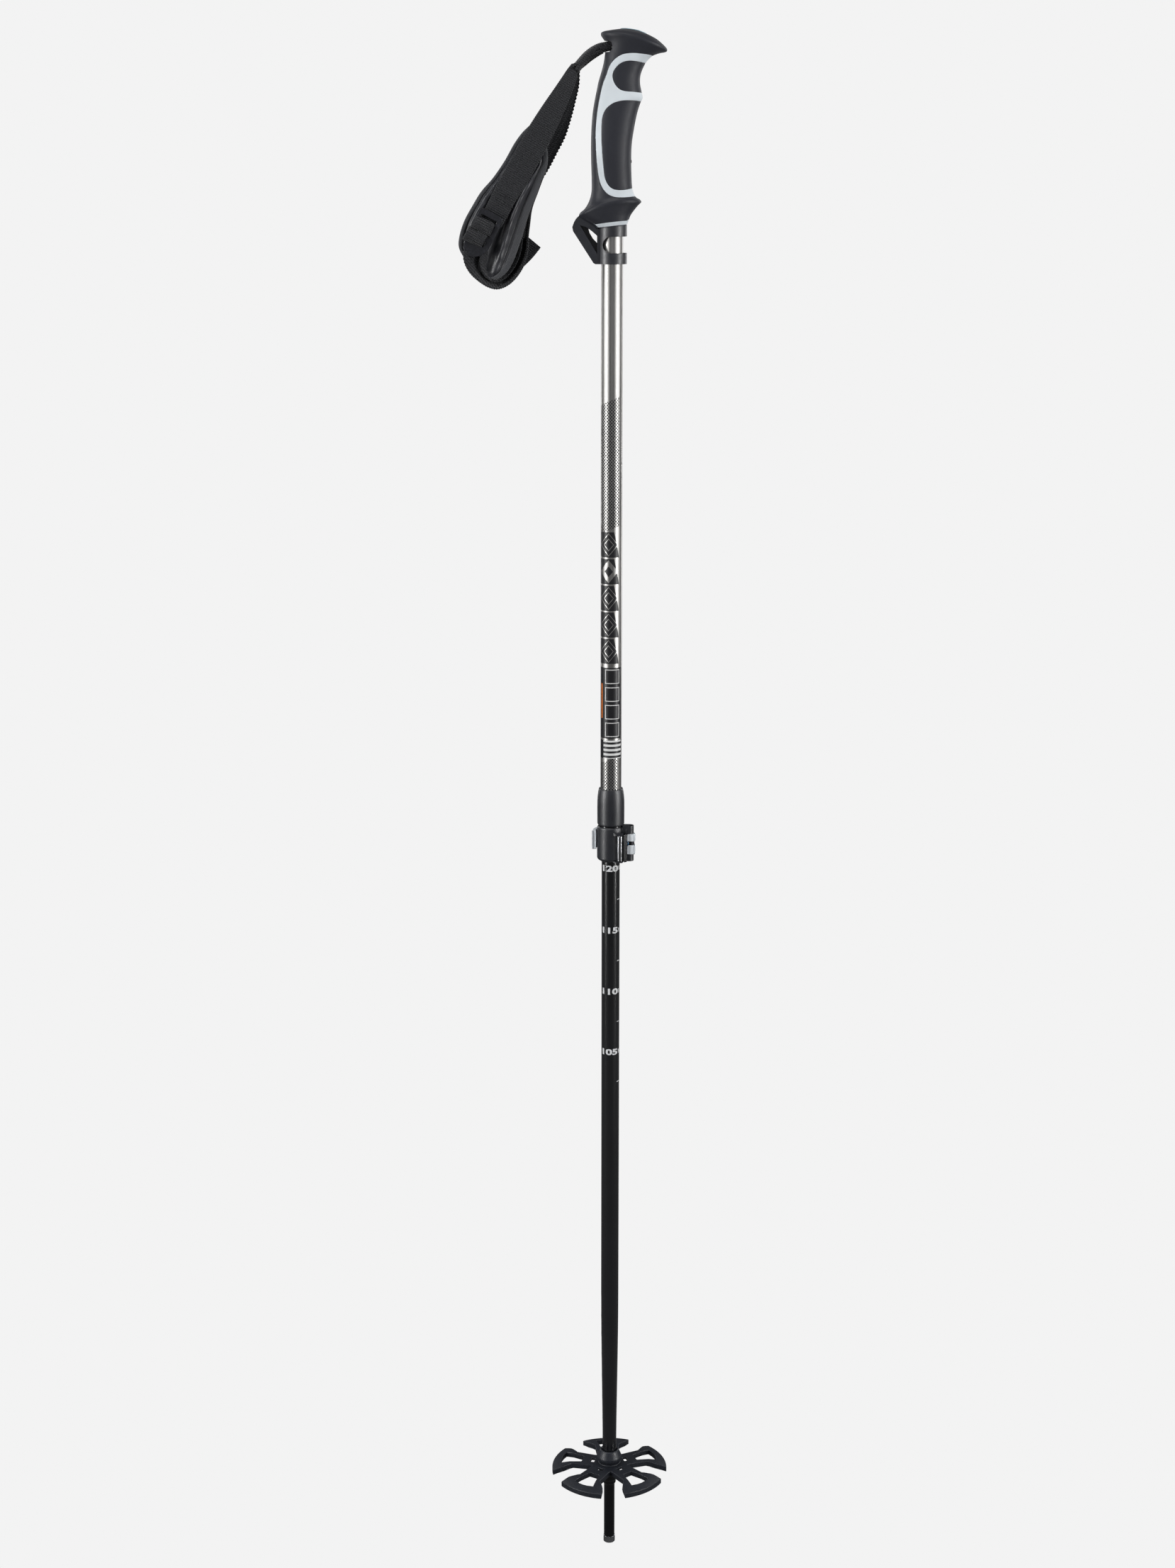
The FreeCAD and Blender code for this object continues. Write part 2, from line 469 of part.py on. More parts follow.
FRONT_L = [(-31.0, 1178.6), (-41.02, 1164.44), (-50.85, 1150.75), (-61.92, 1134.06), (-74.21, 1112.52),
           (-85.27, 1093.31), (-91.42, 1078.86)]
FRONT_R = [(-24.6, 1176.0), (-30.0, 1157.9), (-38.61, 1138.83), (-47.21, 1122.1), (-60.74, 1098.11),
           (-71.8, 1081.27), (-79.17, 1072.82)]
# gather block that spreads the bunched webbing into its two runs
gather = prism_xz([(-28.3, 1181.6), (-31.2, 1178.4), (-27.6, 1173.2), (-24.2, 1173.2), (-23.2, 1176.2)], -10.6, 9.8)
node("strap_gather", gather.cut(root))
front = prism_xz(FRONT_L + list(reversed(FRONT_R)), -10.6, -8.8)
node("strap_front_run", front.cut(gather))

back_l = [(-27.6, 1173.2), (-31.5, 1160.0), (-37.0, 1145.0), (-44.5, 1128.0), (-52.0, 1113.5), (-60.0, 1098.0), (-69.0, 1082.0)]
back_r = [(-24.2, 1173.2), (-24.47, 1166.22), (-26.93, 1155.52), (-30.01, 1143.6), (-34.94, 1129.28), (-41.09, 1118.51),
          (-47.85, 1102.92), (-53.5, 1090.0)]
back = prism_xz(back_l + list(reversed(back_r)), 8.0, 9.8)
node("strap_back_run", back)

PAD_L = [(-61.92, 1134.06), (-68.67, 1128.08), (-77.89, 1112.52), (-86.49, 1100.52), (-95.09, 1090.9),
         (-101.23, 1081.27), (-107.38, 1070.41), (-111.07, 1059.53), (-111.69, 1052.27), (-109.25, 1046.22), (-104.5, 1041.5)]
PAD_R = [(-88.42, 1029.22), (-85.36, 1028.0), (-79.22, 1031.65), (-71.85, 1042.58), (-65.69, 1059.53),
         (-60.77, 1075.24), (-55.85, 1087.29), (-50.92, 1100.52), (-47.47, 1110.12), (-47.21, 1121.5)]
pad = prism_xz(PAD_L + PAD_R, -8.6, -4.6)
node("wrist_pad", pad)

# lower turn of the band from the front to the back
turn = prism_xz([(-104.3, 1040.9), (-104.36, 1035.3), (-96.4, 1028.0), (-89.04, 1022.53), (-82.91, 1021.92), (-74.32, 1024.36),
                 (-65.73, 1034.08), (-58.5, 1042.3), (-63.0, 1046.8), (-72.0, 1037.5), (-79.0, 1029.6), (-85.4, 1027.0), (-89.2, 1028.2)], -4.6, 6.8)
node("strap_lower_turn", turn)
rear_band = prism_xz([(-58.4, 1042.4), (-62.6, 1046.9), (-69.0, 1060.0), (-69.5, 1080.0), (-60.4, 1098.2), (-53.4, 1090.2), (-50.0, 1078.0), (-53.0, 1060.0), (-61.4, 1058.93),
                       ], 4.6, 8.0)
tail = prism_xz([(-65.5, 1034.4), (-57.13, 1043.79), (-52.21, 1050.46), (-61.4, 1058.93), (-69.0, 1047.0), (-71.5, 1040.5)], 7.2, 9.6)
rear_band = rear_band.cut(tail)
node("wrist_pad_rear", biggest(rear_band))
node("strap_tail", tail)

bk = [(-94.49, 1079.46), (-79.78, 1072.82), (-79.17, 1068.0), (-91.46, 1047.43), (-97.6, 1044.2), (-103.73, 1045.0), (-108.2, 1054.3)]
buckle = prism_xz(bk, -15.2, -10.9)
b1 = prism_xz([(-94.6, 1075.6), (-84.0, 1070.9), (-87.6, 1064.6), (-98.4, 1069.2)], -20, 0)
b2 = prism_xz([(-100.2, 1066.0), (-89.4, 1061.4), (-93.6, 1054.2), (-104.4, 1058.8)], -20, 0)
buckle = buckle.cut(b1).cut(b2)
node("ladder_lock_buckle", buckle)

print("nodes", len(NODES))
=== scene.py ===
import bpy, bmesh, math, json
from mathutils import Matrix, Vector


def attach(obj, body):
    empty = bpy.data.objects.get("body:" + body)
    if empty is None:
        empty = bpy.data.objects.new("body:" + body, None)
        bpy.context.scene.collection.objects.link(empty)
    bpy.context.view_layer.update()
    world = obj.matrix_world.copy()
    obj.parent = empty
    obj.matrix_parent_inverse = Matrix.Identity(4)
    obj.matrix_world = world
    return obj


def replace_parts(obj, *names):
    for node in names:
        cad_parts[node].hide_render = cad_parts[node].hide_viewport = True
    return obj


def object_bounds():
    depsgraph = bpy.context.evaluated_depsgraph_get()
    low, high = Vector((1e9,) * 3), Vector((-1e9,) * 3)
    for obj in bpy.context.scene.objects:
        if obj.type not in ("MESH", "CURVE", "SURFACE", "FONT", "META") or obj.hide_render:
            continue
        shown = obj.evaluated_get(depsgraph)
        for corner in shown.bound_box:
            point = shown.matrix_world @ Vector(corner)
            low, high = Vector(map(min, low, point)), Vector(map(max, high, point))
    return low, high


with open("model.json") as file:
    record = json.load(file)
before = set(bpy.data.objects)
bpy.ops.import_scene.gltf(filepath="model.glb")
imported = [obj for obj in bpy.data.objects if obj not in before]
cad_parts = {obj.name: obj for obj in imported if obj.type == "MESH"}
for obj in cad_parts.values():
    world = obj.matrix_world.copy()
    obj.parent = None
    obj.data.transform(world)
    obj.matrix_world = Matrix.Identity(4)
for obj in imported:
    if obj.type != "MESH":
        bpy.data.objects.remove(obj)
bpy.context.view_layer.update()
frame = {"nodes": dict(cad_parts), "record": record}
NODES = frame["nodes"]
mm = 0.001
scene = bpy.context.scene

# ------------------------------------------------------------------ node helper
class G:
    """Small helper that builds shader nodes."""
    def __init__(self, name):
        self.m = bpy.data.materials.new(name)
        self.m.use_nodes = True
        self.t = self.m.node_tree
        self.t.nodes.clear()
        self.out = self.t.nodes.new("ShaderNodeOutputMaterial")
        self.b = self.t.nodes.new("ShaderNodeBsdfPrincipled")
        self.t.links.new(self.b.outputs[0], self.out.inputs[0])
        tc = self.t.nodes.new("ShaderNodeTexCoord")
        self.obj = tc.outputs["Object"]

    def n(self, kind, **kw):
        x = self.t.nodes.new(kind)
        for k, v in kw.items():
            setattr(x, k, v)
        return x

    def set(self, sock, v):
        if isinstance(v, bpy.types.NodeSocket):
            self.t.links.new(v, sock)
        else:
            sock.default_value = v

    def math(self, op, a, b=0.0, c=0.0, clamp=False):
        x = self.n("ShaderNodeMath", operation=op)
        x.use_clamp = clamp
        self.set(x.inputs[0], a); self.set(x.inputs[1], b)
        if op in ("MULTIPLY_ADD", "SMOOTH_MIN", "SMOOTH_MAX", "COMPARE"):
            self.set(x.inputs[2], c)
        return x.outputs[0]

    def mix(self, f, a, b):
        x = self.n("ShaderNodeMix", data_type="RGBA")
        self.set(x.inputs[0], f); self.set(x.inputs[6], a); self.set(x.inputs[7], b)
        return x.outputs[2]

    def mixf(self, f, a, b):
        x = self.n("ShaderNodeMix", data_type="FLOAT")
        self.set(x.inputs[0], f); self.set(x.inputs[2], a); self.set(x.inputs[3], b)
        return x.outputs[0]

    def noise(self, scale, detail=2.0, rough=0.5, vec=None, stretch=None):
        v = vec if vec is not None else self.obj
        if stretch:
            mp = self.n("ShaderNodeMapping")
            self.set(mp.inputs[0], v)
            mp.inputs["Scale"].default_value = stretch
            v = mp.outputs[0]
        x = self.n("ShaderNodeTexNoise")
        self.set(x.inputs["Vector"], v)
        x.inputs["Scale"].default_value = scale
        x.inputs["Detail"].default_value = detail
        x.inputs["Roughness"].default_value = rough
        return x.outputs[0]

    def voro(self, scale, feature="F1"):
        x = self.n("ShaderNodeTexVoronoi", feature=feature)
        self.set(x.inputs["Vector"], self.obj)
        x.inputs["Scale"].default_value = scale
        return x.outputs["Distance"]

    def rng(self, v, a, b, c=0.0, d=1.0):
        x = self.n("ShaderNodeMapRange")
        self.set(x.inputs[0], v)
        for i, q in enumerate((a, b, c, d)):
            self.set(x.inputs[1 + i], q)
        return x.outputs[0]

    def step(self, v, edge, soft):
        """0 below edge, 1 above it."""
        x = self.n("ShaderNodeMapRange", interpolation_type="SMOOTHSTEP")
        self.set(x.inputs[0], v)
        x.inputs[1].default_value = edge - soft
        x.inputs[2].default_value = edge + soft
        return x.outputs[0]

    def bump(self, h, strength=0.3, dist=0.0002, normal=None):
        x = self.n("ShaderNodeBump")
        x.inputs["Strength"].default_value = strength
        x.inputs["Distance"].default_value = dist
        self.set(x.inputs["Height"], h)
        if normal is not None:
            self.set(x.inputs["Normal"], normal)
        return x.outputs[0]

    def xyz(self):
        s = self.n("ShaderNodeSeparateXYZ")
        self.set(s.inputs[0], self.obj)
        return s.outputs[0], s.outputs[1], s.outputs[2]

    def p(self, name, v):
        self.set(self.b.inputs[name], v)


def rgb(r, g, b):
    return (r, g, b, 1.0)


# -------------------------------------------------------------------- materials
def mat_textured_plastic(name, base, rough=0.52, grain=2600.0, strength=0.35, spec=0.5, dist=0.00012):
    g = G(name)
    a = g.noise(grain, 2.0, 0.55)
    v = g.voro(grain * 0.8)
    low = g.noise(60.0, 3.0)
    h = g.math("MULTIPLY_ADD", v, 0.6, a)
    col = g.mix(g.rng(low, 0.3, 0.7), rgb(*[c * 0.86 for c in base]), rgb(*[c * 1.18 for c in base]))
    # painted glints: light flecks at the fine grain are painted sparkle on the speckled plastic
    col = g.mix(g.rng(a, 0.5, 0.8, 0.0, 0.8), col, rgb(*[min(1, c * 2.6) for c in base]))
    g.p("Base Color", col)
    g.p("Roughness", g.rng(g.noise(240.0, 2.0), 0.3, 0.7, rough - 0.04, rough + 0.04))
    g.p("Specular IOR Level", spec)
    g.p("Normal", g.bump(h, strength, dist))
    return g.m


def mat_rubber(name, base, rough=0.6, sheen=0.25):
    g = G(name)
    fine = g.noise(3800.0, 2.0, 0.6)
    mid = g.noise(420.0, 3.0)
    low = g.noise(28.0, 3.0)
    col = g.mix(g.rng(low, 0.3, 0.7), rgb(*[c * 0.90 for c in base]), rgb(*[c * 1.12 for c in base]))
    g.p("Base Color", col)
    g.p("Roughness", g.rng(mid, 0.3, 0.7, rough - 0.05, rough + 0.06))
    g.p("Specular IOR Level", 0.42)
    g.p("Sheen Weight", sheen)
    g.p("Sheen Roughness", 0.45)
    g.p("Normal", g.bump(g.math("MULTIPLY_ADD", mid, 0.6, fine), 0.16, 0.00008))
    return g.m


def mat_gloss(name, base, rough=0.14, coat=0.6, spec=0.5):
    g = G(name)
    low = g.noise(40.0, 3.0)
    scr = g.noise(900.0, 2.0, 0.5, stretch=(1.0, 1.0, 0.03))
    g.p("Base Color", g.mix(g.rng(low, 0.3, 0.7), rgb(*[c * 0.8 for c in base]), rgb(*[c * 1.25 for c in base])))
    g.p("Roughness", g.rng(scr, 0.35, 0.75, rough, rough + 0.07))
    g.p("Coat Weight", coat)
    g.p("Coat Roughness", 0.06)
    g.p("Specular IOR Level", spec)
    g.p("Normal", g.bump(scr, 0.04, 0.00003))
    return g.m


def mat_metal(name, base, rough=0.2, brushed=0.0):
    g = G(name)
    scr = g.noise(1400.0, 3.0, 0.6, stretch=(1.0, 1.0, 0.06))
    low = g.noise(90.0, 3.0)
    g.p("Base Color", g.mix(g.rng(low, 0.3, 0.7), rgb(*[c * 0.88 for c in base]), rgb(*base)))
    g.p("Metallic", 1.0)
    g.p("Roughness", g.rng(scr, 0.3, 0.7, rough, rough + 0.1))
    g.p("Normal", g.bump(scr, 0.05 + brushed, 0.00004))
    return g.m


def mat_lower_tube():
    g = G("lower_tube_black")
    scr = g.noise(700.0, 2.0, 0.5, stretch=(1.0, 1.0, 0.02))
    low = g.noise(22.0, 3.0)
    g.p("Base Color", g.mix(g.rng(low, 0.3, 0.7), rgb(0.0024, 0.0026, 0.0036), rgb(0.0046, 0.0050, 0.0068)))
    g.p("Roughness", g.rng(scr, 0.3, 0.75, 0.15, 0.19))
    g.p("Specular IOR Level", 0.9)
    g.p("Coat Weight", 0.9)
    g.p("Coat Roughness", 0.12)
    g.p("Normal", g.bump(scr, 0.03, 0.00003))
    return g.m


def mat_upper_tube():
    """Satin silver tube with a printed dot screen, a geometric band and plain stripes."""
    g = G("upper_tube_silver")
    x, y, z = g.xyz()
    xm = g.math("MULTIPLY", x, 1000.0)
    zm = g.math("MULTIPLY", z, 1000.0)
    # arc length round the tube from the front line, in millimetres
    ang = g.math("ARCTAN2", x, g.math("MULTIPLY", y, -1.0))
    s = g.math("MULTIPLY", ang, 8.0)
    # dot screen
    def lattice(off):
        u = g.math("SUBTRACT", g.math("FRACT", g.math("ADD", g.math("DIVIDE", s, 2.285), 50.0 + off)), 0.5)
        v = g.math("SUBTRACT", g.math("FRACT", g.math("ADD", g.math("DIVIDE", zm, 2.40), 10.0 + off)), 0.5)
        return g.math("SQRT", g.math("ADD", g.math("MULTIPLY", u, u), g.math("MULTIPLY", v, v)))
    d = g.math("MINIMUM", lattice(0.0), lattice(0.5))
    dots = g.math("SUBTRACT", 1.0, g.step(d, 0.285, 0.03))
    # a plain strip down one side
    strip = g.math("SUBTRACT", 1.0, g.step(g.math("ABSOLUTE", g.math("SUBTRACT", s, 10.2)), 3.6, 0.12))
    dots = g.math("MULTIPLY", dots, g.math("SUBTRACT", 1.0, strip))
    slant = g.math("MULTIPLY", s, 0.40)
    zz = g.math("SUBTRACT", zm, slant)

    def band(v, lo, hi, soft=0.06):
        return g.math("MULTIPLY", g.step(v, lo, soft), g.math("SUBTRACT", 1.0, g.step(v, hi, soft)))
    dots_on = g.math("MAXIMUM", band(zz, 845.0, 941.0), band(zz, 630.0, 668.5))
    black = g.math("MULTIPLY", dots, dots_on)
    # geometric band: lozenges in dark blocks, pitch 20.3 mm
    cell = g.math("DIVIDE", g.math("SUBTRACT", zm, 742.0), 20.3)
    fv = g.math("SUBTRACT", g.math("FRACT", g.math("ADD", cell, 20.0)), 0.5)
    zone = band(zm, 742.0, 843.5)
    left = g.math("SUBTRACT", 1.0, g.step(g.math("SUBTRACT", s, g.math("MULTIPLY", fv, -4.5)), 4.2, 0.06))
    loz = g.math("ADD", g.math("DIVIDE", g.math("ABSOLUTE", g.math("ADD", s, 2.2)), 8.6),
                 g.math("DIVIDE", g.math("ABSOLUTE", fv), 0.50))
    ring1 = band(loz, 0.80, 0.86, 0.012)
    ring2 = band(loz, 0.40, 0.47, 0.012)
    inner = g.math("SUBTRACT", 1.0, g.step(loz, 0.80, 0.012))
    silver_cell = band(cell, 3.0, 4.0, 0.01)
    cut = g.math("SUBTRACT", 1.0, g.step(g.math("ABSOLUTE", fv), 0.475, 0.008))
    motif = g.math("MULTIPLY", left, cut)
    motif = g.math("MULTIPLY", motif, g.math("SUBTRACT", 1.0, g.math("MAXIMUM", ring1, ring2)))
    motif = g.math("MULTIPLY", motif, g.math("SUBTRACT", 1.0, g.math("MULTIPLY", silver_cell, g.math("MULTIPLY", inner, g.step(loz, 0.47, 0.012)))))
    black = g.math("MAXIMUM", black, g.math("MULTIPLY", motif, zone))
    # outlined blocks below it
    zone2 = band(zm, 684.5, 739.5)
    c2 = g.math("DIVIDE", g.math("SUBTRACT", zm, 684.5), 13.75)
    f2 = g.math("ABSOLUTE", g.math("SUBTRACT", g.math("FRACT", g.math("ADD", c2, 20.0)), 0.5))
    s2 = g.math("ABSOLUTE", g.math("SUBTRACT", s, 1.0))
    box_d = g.math("MAXIMUM", g.math("DIVIDE", f2, 0.5), g.math("DIVIDE", s2, 7.4))
    outl = band(box_d, 0.72, 0.80, 0.015)
    fill2 = g.math("MULTIPLY", zone2, g.math("SUBTRACT", 1.0, g.step(s, 9.2, 0.08)))
    black = g.math("MAXIMUM", black, fill2)
    zone3 = band(zm, 668.8, 683.0)
    stripes = g.math("MULTIPLY", zone3, g.step(g.math("ABSOLUTE", g.math("SUBTRACT", g.math("FRACT", g.math("DIVIDE", zm, 3.5)), 0.5)), 0.24, 0.03))
    fill3 = g.math("MULTIPLY", zone3, g.math("SUBTRACT", 1.0, g.step(s, 9.2, 0.08)))
    black = g.math("MAXIMUM", black, fill3)
    white = g.math("MAXIMUM", g.math("MULTIPLY", outl, fill2), g.math("MULTIPLY", stripes, g.math("MULTIPLY", fill3, g.step(s, -6.5, 0.08))))
    orange = g.math("MULTIPLY", band(zm, 700.0, 727.0), band(s, -9.3, -7.6, 0.05))
    brush = g.noise(1500.0, 3.0, 0.6, stretch=(1.0, 1.0, 0.015))
    low = g.noise(30.0, 3.0)
    silver = g.mix(g.rng(low, 0.3, 0.7), rgb(0.52, 0.51, 0.49), rgb(0.60, 0.59, 0.57))
    silver = g.mix(g.rng(brush, 0.3, 0.8, 0.0, 0.35), silver, rgb(0.40, 0.39, 0.37))
    col = g.mix(black, silver, rgb(0.012, 0.012, 0.014))
    col = g.mix(white, col, rgb(0.78, 0.78, 0.77))
    col = g.mix(orange, col, rgb(0.72, 0.19, 0.03))
    ink = g.math("MAXIMUM", black, g.math("MAXIMUM", white, orange))
    g.p("Base Color", col)
    g.p("Metallic", g.math("SUBTRACT", 1.0, ink))
    g.p("Roughness", g.mixf(ink, g.rng(brush, 0.3, 0.7, 0.25, 0.33), 0.34))
    g.p("Normal", g.bump(brush, 0.05, 0.00003))
    return g.m


def mat_webbing(name, base=(0.0095, 0.0100, 0.0125), pitch=1.5, run=(0.0, 0.0, 1.0), across=(1.0, 0.0, 0.0)):
    """Ribbed webbing: ribs across the run, with a fine plain weave."""
    g = G(name)
    def along(d, p):
        dp = g.n("ShaderNodeVectorMath", operation="DOT_PRODUCT")
        g.set(dp.inputs[0], g.obj)
        dp.inputs[1].default_value = d
        return g.math("MULTIPLY", dp.outputs["Value"], 1000.0 * 2 * math.pi / p)
    wob = g.math("MULTIPLY", g.noise(700.0, 2.0), 1.6)
    a = g.math("SINE", g.math("ADD", along(run, pitch), wob))
    b = g.math("SINE", g.math("ADD", along(across, 1.35), wob))
    w = g.math("MULTIPLY", a, b)
    fib = g.noise(5200.0, 3.0, 0.7)
    h = g.math("MULTIPLY_ADD", w, 0.55, g.math("MULTIPLY_ADD", a, 0.45, g.math("MULTIPLY", fib, 0.6)))
    k = g.rng(h, -0.5, 1.3, 0.0, 1.0)
    low = g.noise(45.0, 3.0)
    # painted shade and highlight: colour follows the weave height, dark in the hollows and light on the raised ribs
    col = g.mix(k, rgb(*[c * 0.18 for c in base]), rgb(*[c * 2.6 for c in base]))
    col = g.mix(g.rng(low, 0.35, 0.75, 0.0, 0.25), col, rgb(*[c * 1.4 for c in base]))
    g.p("Base Color", col)
    g.p("Roughness", g.rng(fib, 0.3, 0.7, 0.62, 0.8))
    g.p("Specular IOR Level", 0.35)
    g.p("Sheen Weight", 0.22)
    g.p("Sheen Roughness", 0.5)
    g.p("Normal", g.bump(h, 0.9, 0.00035))
    return g.m


def mat_leather(name, base=(0.026, 0.027, 0.032)):
    g = G(name)
    v = g.voro(1150.0)
    v2 = g.voro(2900.0)
    n = g.noise(160.0, 4.0)
    h = g.math("MULTIPLY_ADD", v2, 0.4, v)
    col = g.mix(g.rng(n, 0.3, 0.7), rgb(*[c * 0.75 for c in base]), rgb(*[c * 1.25 for c in base]))
    g.p("Base Color", col)
    g.p("Roughness", g.rng(n, 0.3, 0.7, 0.34, 0.44))
    g.p("Specular IOR Level", 0.55)
    g.p("Coat Weight", 0.15)
    g.p("Coat Roughness", 0.3)
    g.p("Normal", g.bump(h, 0.28, 0.00012))
    return g.m


def mat_binding(name, base=(0.05, 0.052, 0.058)):
    g = G(name)
    x, y, z = g.xyz()
    dp = g.n("ShaderNodeVectorMath", operation="DOT_PRODUCT")
    g.set(dp.inputs[0], g.obj)
    dp.inputs[1].default_value = (0.5, 0.0, 0.86)
    a = g.math("SINE", g.math("MULTIPLY", dp.outputs["Value"], 1000.0 * 2 * math.pi / 0.85))
    fib = g.noise(4200.0, 2.0)
    h = g.math("MULTIPLY_ADD", a, 0.45, fib)
    # painted shade and highlight: colour follows the rib height, darker in the grooves and lighter on the rib crests
    col = g.mix(g.rng(h, 0.0, 1.2), rgb(*[c * 0.45 for c in base]), rgb(*[c * 1.5 for c in base]))
    g.p("Base Color", col)
    g.p("Roughness", 0.62)
    g.p("Sheen Weight", 0.25)
    g.p("Normal", g.bump(h, 0.5, 0.00015))
    return g.m


def mat_print(name, base):
    g = G(name)
    n = g.noise(900.0, 3.0)
    g.p("Base Color", g.mix(g.rng(n, 0.3, 0.7), rgb(*[c * 0.94 for c in base]), rgb(*base)))
    g.p("Roughness", g.rng(n, 0.3, 0.7, 0.34, 0.42))
    g.p("Normal", g.bump(n, 0.05, 0.00002))
    return g.m


M = {}
M["upper_tube"] = mat_upper_tube()
M["lower_tube"] = mat_lower_tube()
M["black_plastic"] = mat_textured_plastic("clamp_plastic", (0.0115, 0.0127, 0.0168), 0.36, 3200.0, 0.42, 0.95, 0.00007)
M["basket_plastic"] = mat_textured_plastic("basket_nylon", (0.0125, 0.0145, 0.020), 0.42, 1500.0, 0.10, 0.55)
M["stem_plastic"] = mat_gloss("stem_plastic", (0.003, 0.003, 0.004), 0.16, 0.3)
M["chrome"] = mat_metal("polished_steel", (0.64, 0.65, 0.67), 0.07)
M["carbide"] = mat_metal("carbide", (0.22, 0.22, 0.23), 0.42)
M["dark_steel"] = mat_metal("black_steel", (0.05, 0.05, 0.055), 0.34)
M["lever_grey"] = mat_rubber("lever_grey", (0.84, 0.885, 0.92), 0.36, 0.0)
M["grip_rubber"] = mat_rubber("grip_black_rubber", (0.0205, 0.0218, 0.0290), 0.50, 0.12)
M["grip_grey"] = mat_rubber("grip_grey_rubber", (0.735, 0.79, 0.825), 0.55, 0.05)
M["cap_inlay"] = mat_print("cap_inlay_blue", (0.30, 0.50, 0.58))
M["webbing"] = mat_webbing("strap_webbing", run=(0.50, 0.0, 0.866), across=(0.866, 0.0, -0.5))
M["webbing_turn"] = mat_webbing("turn_webbing", run=(0.75, 0.0, 0.66), across=(0.0, 1.0, 0.0))
M["pad_leather"] = mat_leather("pad_leather")
M["binding"] = mat_binding("pad_binding")
M["buckle"] = mat_textured_plastic("buckle_plastic", (0.014, 0.0145, 0.018), 0.36, 900.0, 0.08, 0.5)
M["hidden_plastic"] = mat_textured_plastic("liner_plastic", (0.08, 0.08, 0.08))
M["digits"] = mat_print("scale_white", (0.80, 0.81, 0.82))
M["thread"] = mat_print("stitch_thread", (0.012, 0.012, 0.014))
M["rear_cloth"] = mat_webbing("rear_cloth", base=(0.0045, 0.0047, 0.006), pitch=1.1, run=(0.34, 0.0, 0.94), across=(0.94, 0.0, -0.34))
M["patch"] = mat_print("thread_patch", (0.02, 0.25, 0.55))


def put(o, m):
    o.data.materials.clear()
    o.data.materials.append(m)


for sp in frame["record"]["subparts"]:
    o = NODES[sp["node"]]
    m = M[sp["material_slot"]]
    if o.material_slots:
        for ms in o.material_slots:
            ms.material = m
    else:
        o.data.materials.append(m)


def round_edges(node, width, segs=3, angle=32.0, clamp=True):
    o = NODES[node]
    w = o.modifiers.new("weld", "WELD")
    w.merge_threshold = 0.000004
    b = o.modifiers.new("round", "BEVEL")
    b.width = width * mm
    b.segments = segs
    b.limit_method = "ANGLE"
    b.angle_limit = math.radians(angle)
    b.use_clamp_overlap = clamp
    b.harden_normals = False
    n = o.modifiers.new("wn", "WEIGHTED_NORMAL")
    n.keep_sharp = False


# ---------------------------------------------------------------- mesh helpers
def new_obj(name, verts, faces, mat, body, smooth=True):
    me = bpy.data.meshes.new(name)
    me.from_pydata([tuple(v) for v in verts], [], faces)
    me.validate()
    bm = bmesh.new(); bm.from_mesh(me)
    bmesh.ops.remove_doubles(bm, verts=bm.verts, dist=1e-7)
    bmesh.ops.recalc_face_normals(bm, faces=bm.faces)
    bm.to_mesh(me); bm.free()
    if smooth:
        me.polygons.foreach_set("use_smooth", [True] * len(me.polygons))
    o = bpy.data.objects.new(name, me)
    bpy.context.collection.objects.link(o)
    me.materials.append(mat)
    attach(o, body)
    return o


def catmull(pts, per):
    """Centripetal Catmull-Rom through points of any dimension."""
    P = [list(p) for p in pts]
    P = [[2 * a - b for a, b in zip(P[0], P[1])]] + P + [[2 * a - b for a, b in zip(P[-1], P[-2])]]
    out = []
    for i in range(1, len(P) - 2):
        p0, p1, p2, p3 = P[i - 1], P[i], P[i + 1], P[i + 2]
        def dist(a, b):
            return max(1e-6, math.sqrt(sum((u - v) ** 2 for u, v in zip(a, b)))) ** 0.5
        t0 = 0.0; t1 = t0 + dist(p0, p1); t2 = t1 + dist(p1, p2); t3 = t2 + dist(p2, p3)
        k = per if isinstance(per, int) else max(1, int(round(math.sqrt(sum((u - v) ** 2 for u, v in zip(p1, p2))) / per)))
        for j in range(k):
            t = t1 + (t2 - t1) * j / k
            def L(a, b, ta, tb):
                return [(tb - t) / (tb - ta) * u + (t - ta) / (tb - ta) * v for u, v in zip(a, b)]
            A1, A2, A3 = L(p0, p1, t0, t1), L(p1, p2, t1, t2), L(p2, p3, t2, t3)
            B1, B2 = L(A1, A2, t0, t2), L(A2, A3, t1, t3)
            out.append(L(B1, B2, t1, t2))
    out.append(P[-2])
    return out


def resample(pts, n):
    d = [0.0]
    for a, b in zip(pts[:-1], pts[1:]):
        d.append(d[-1] + math.sqrt(sum((u - v) ** 2 for u, v in zip(a, b))))
    out = []
    j = 0
    for i in range(n):
        t = d[-1] * i / (n - 1)
        while j < len(d) - 2 and d[j + 1] < t:
            j += 1
        f = (t - d[j]) / max(1e-9, d[j + 1] - d[j])
        out.append([u + (v - u) * f for u, v in zip(pts[j], pts[j + 1])])
    return out


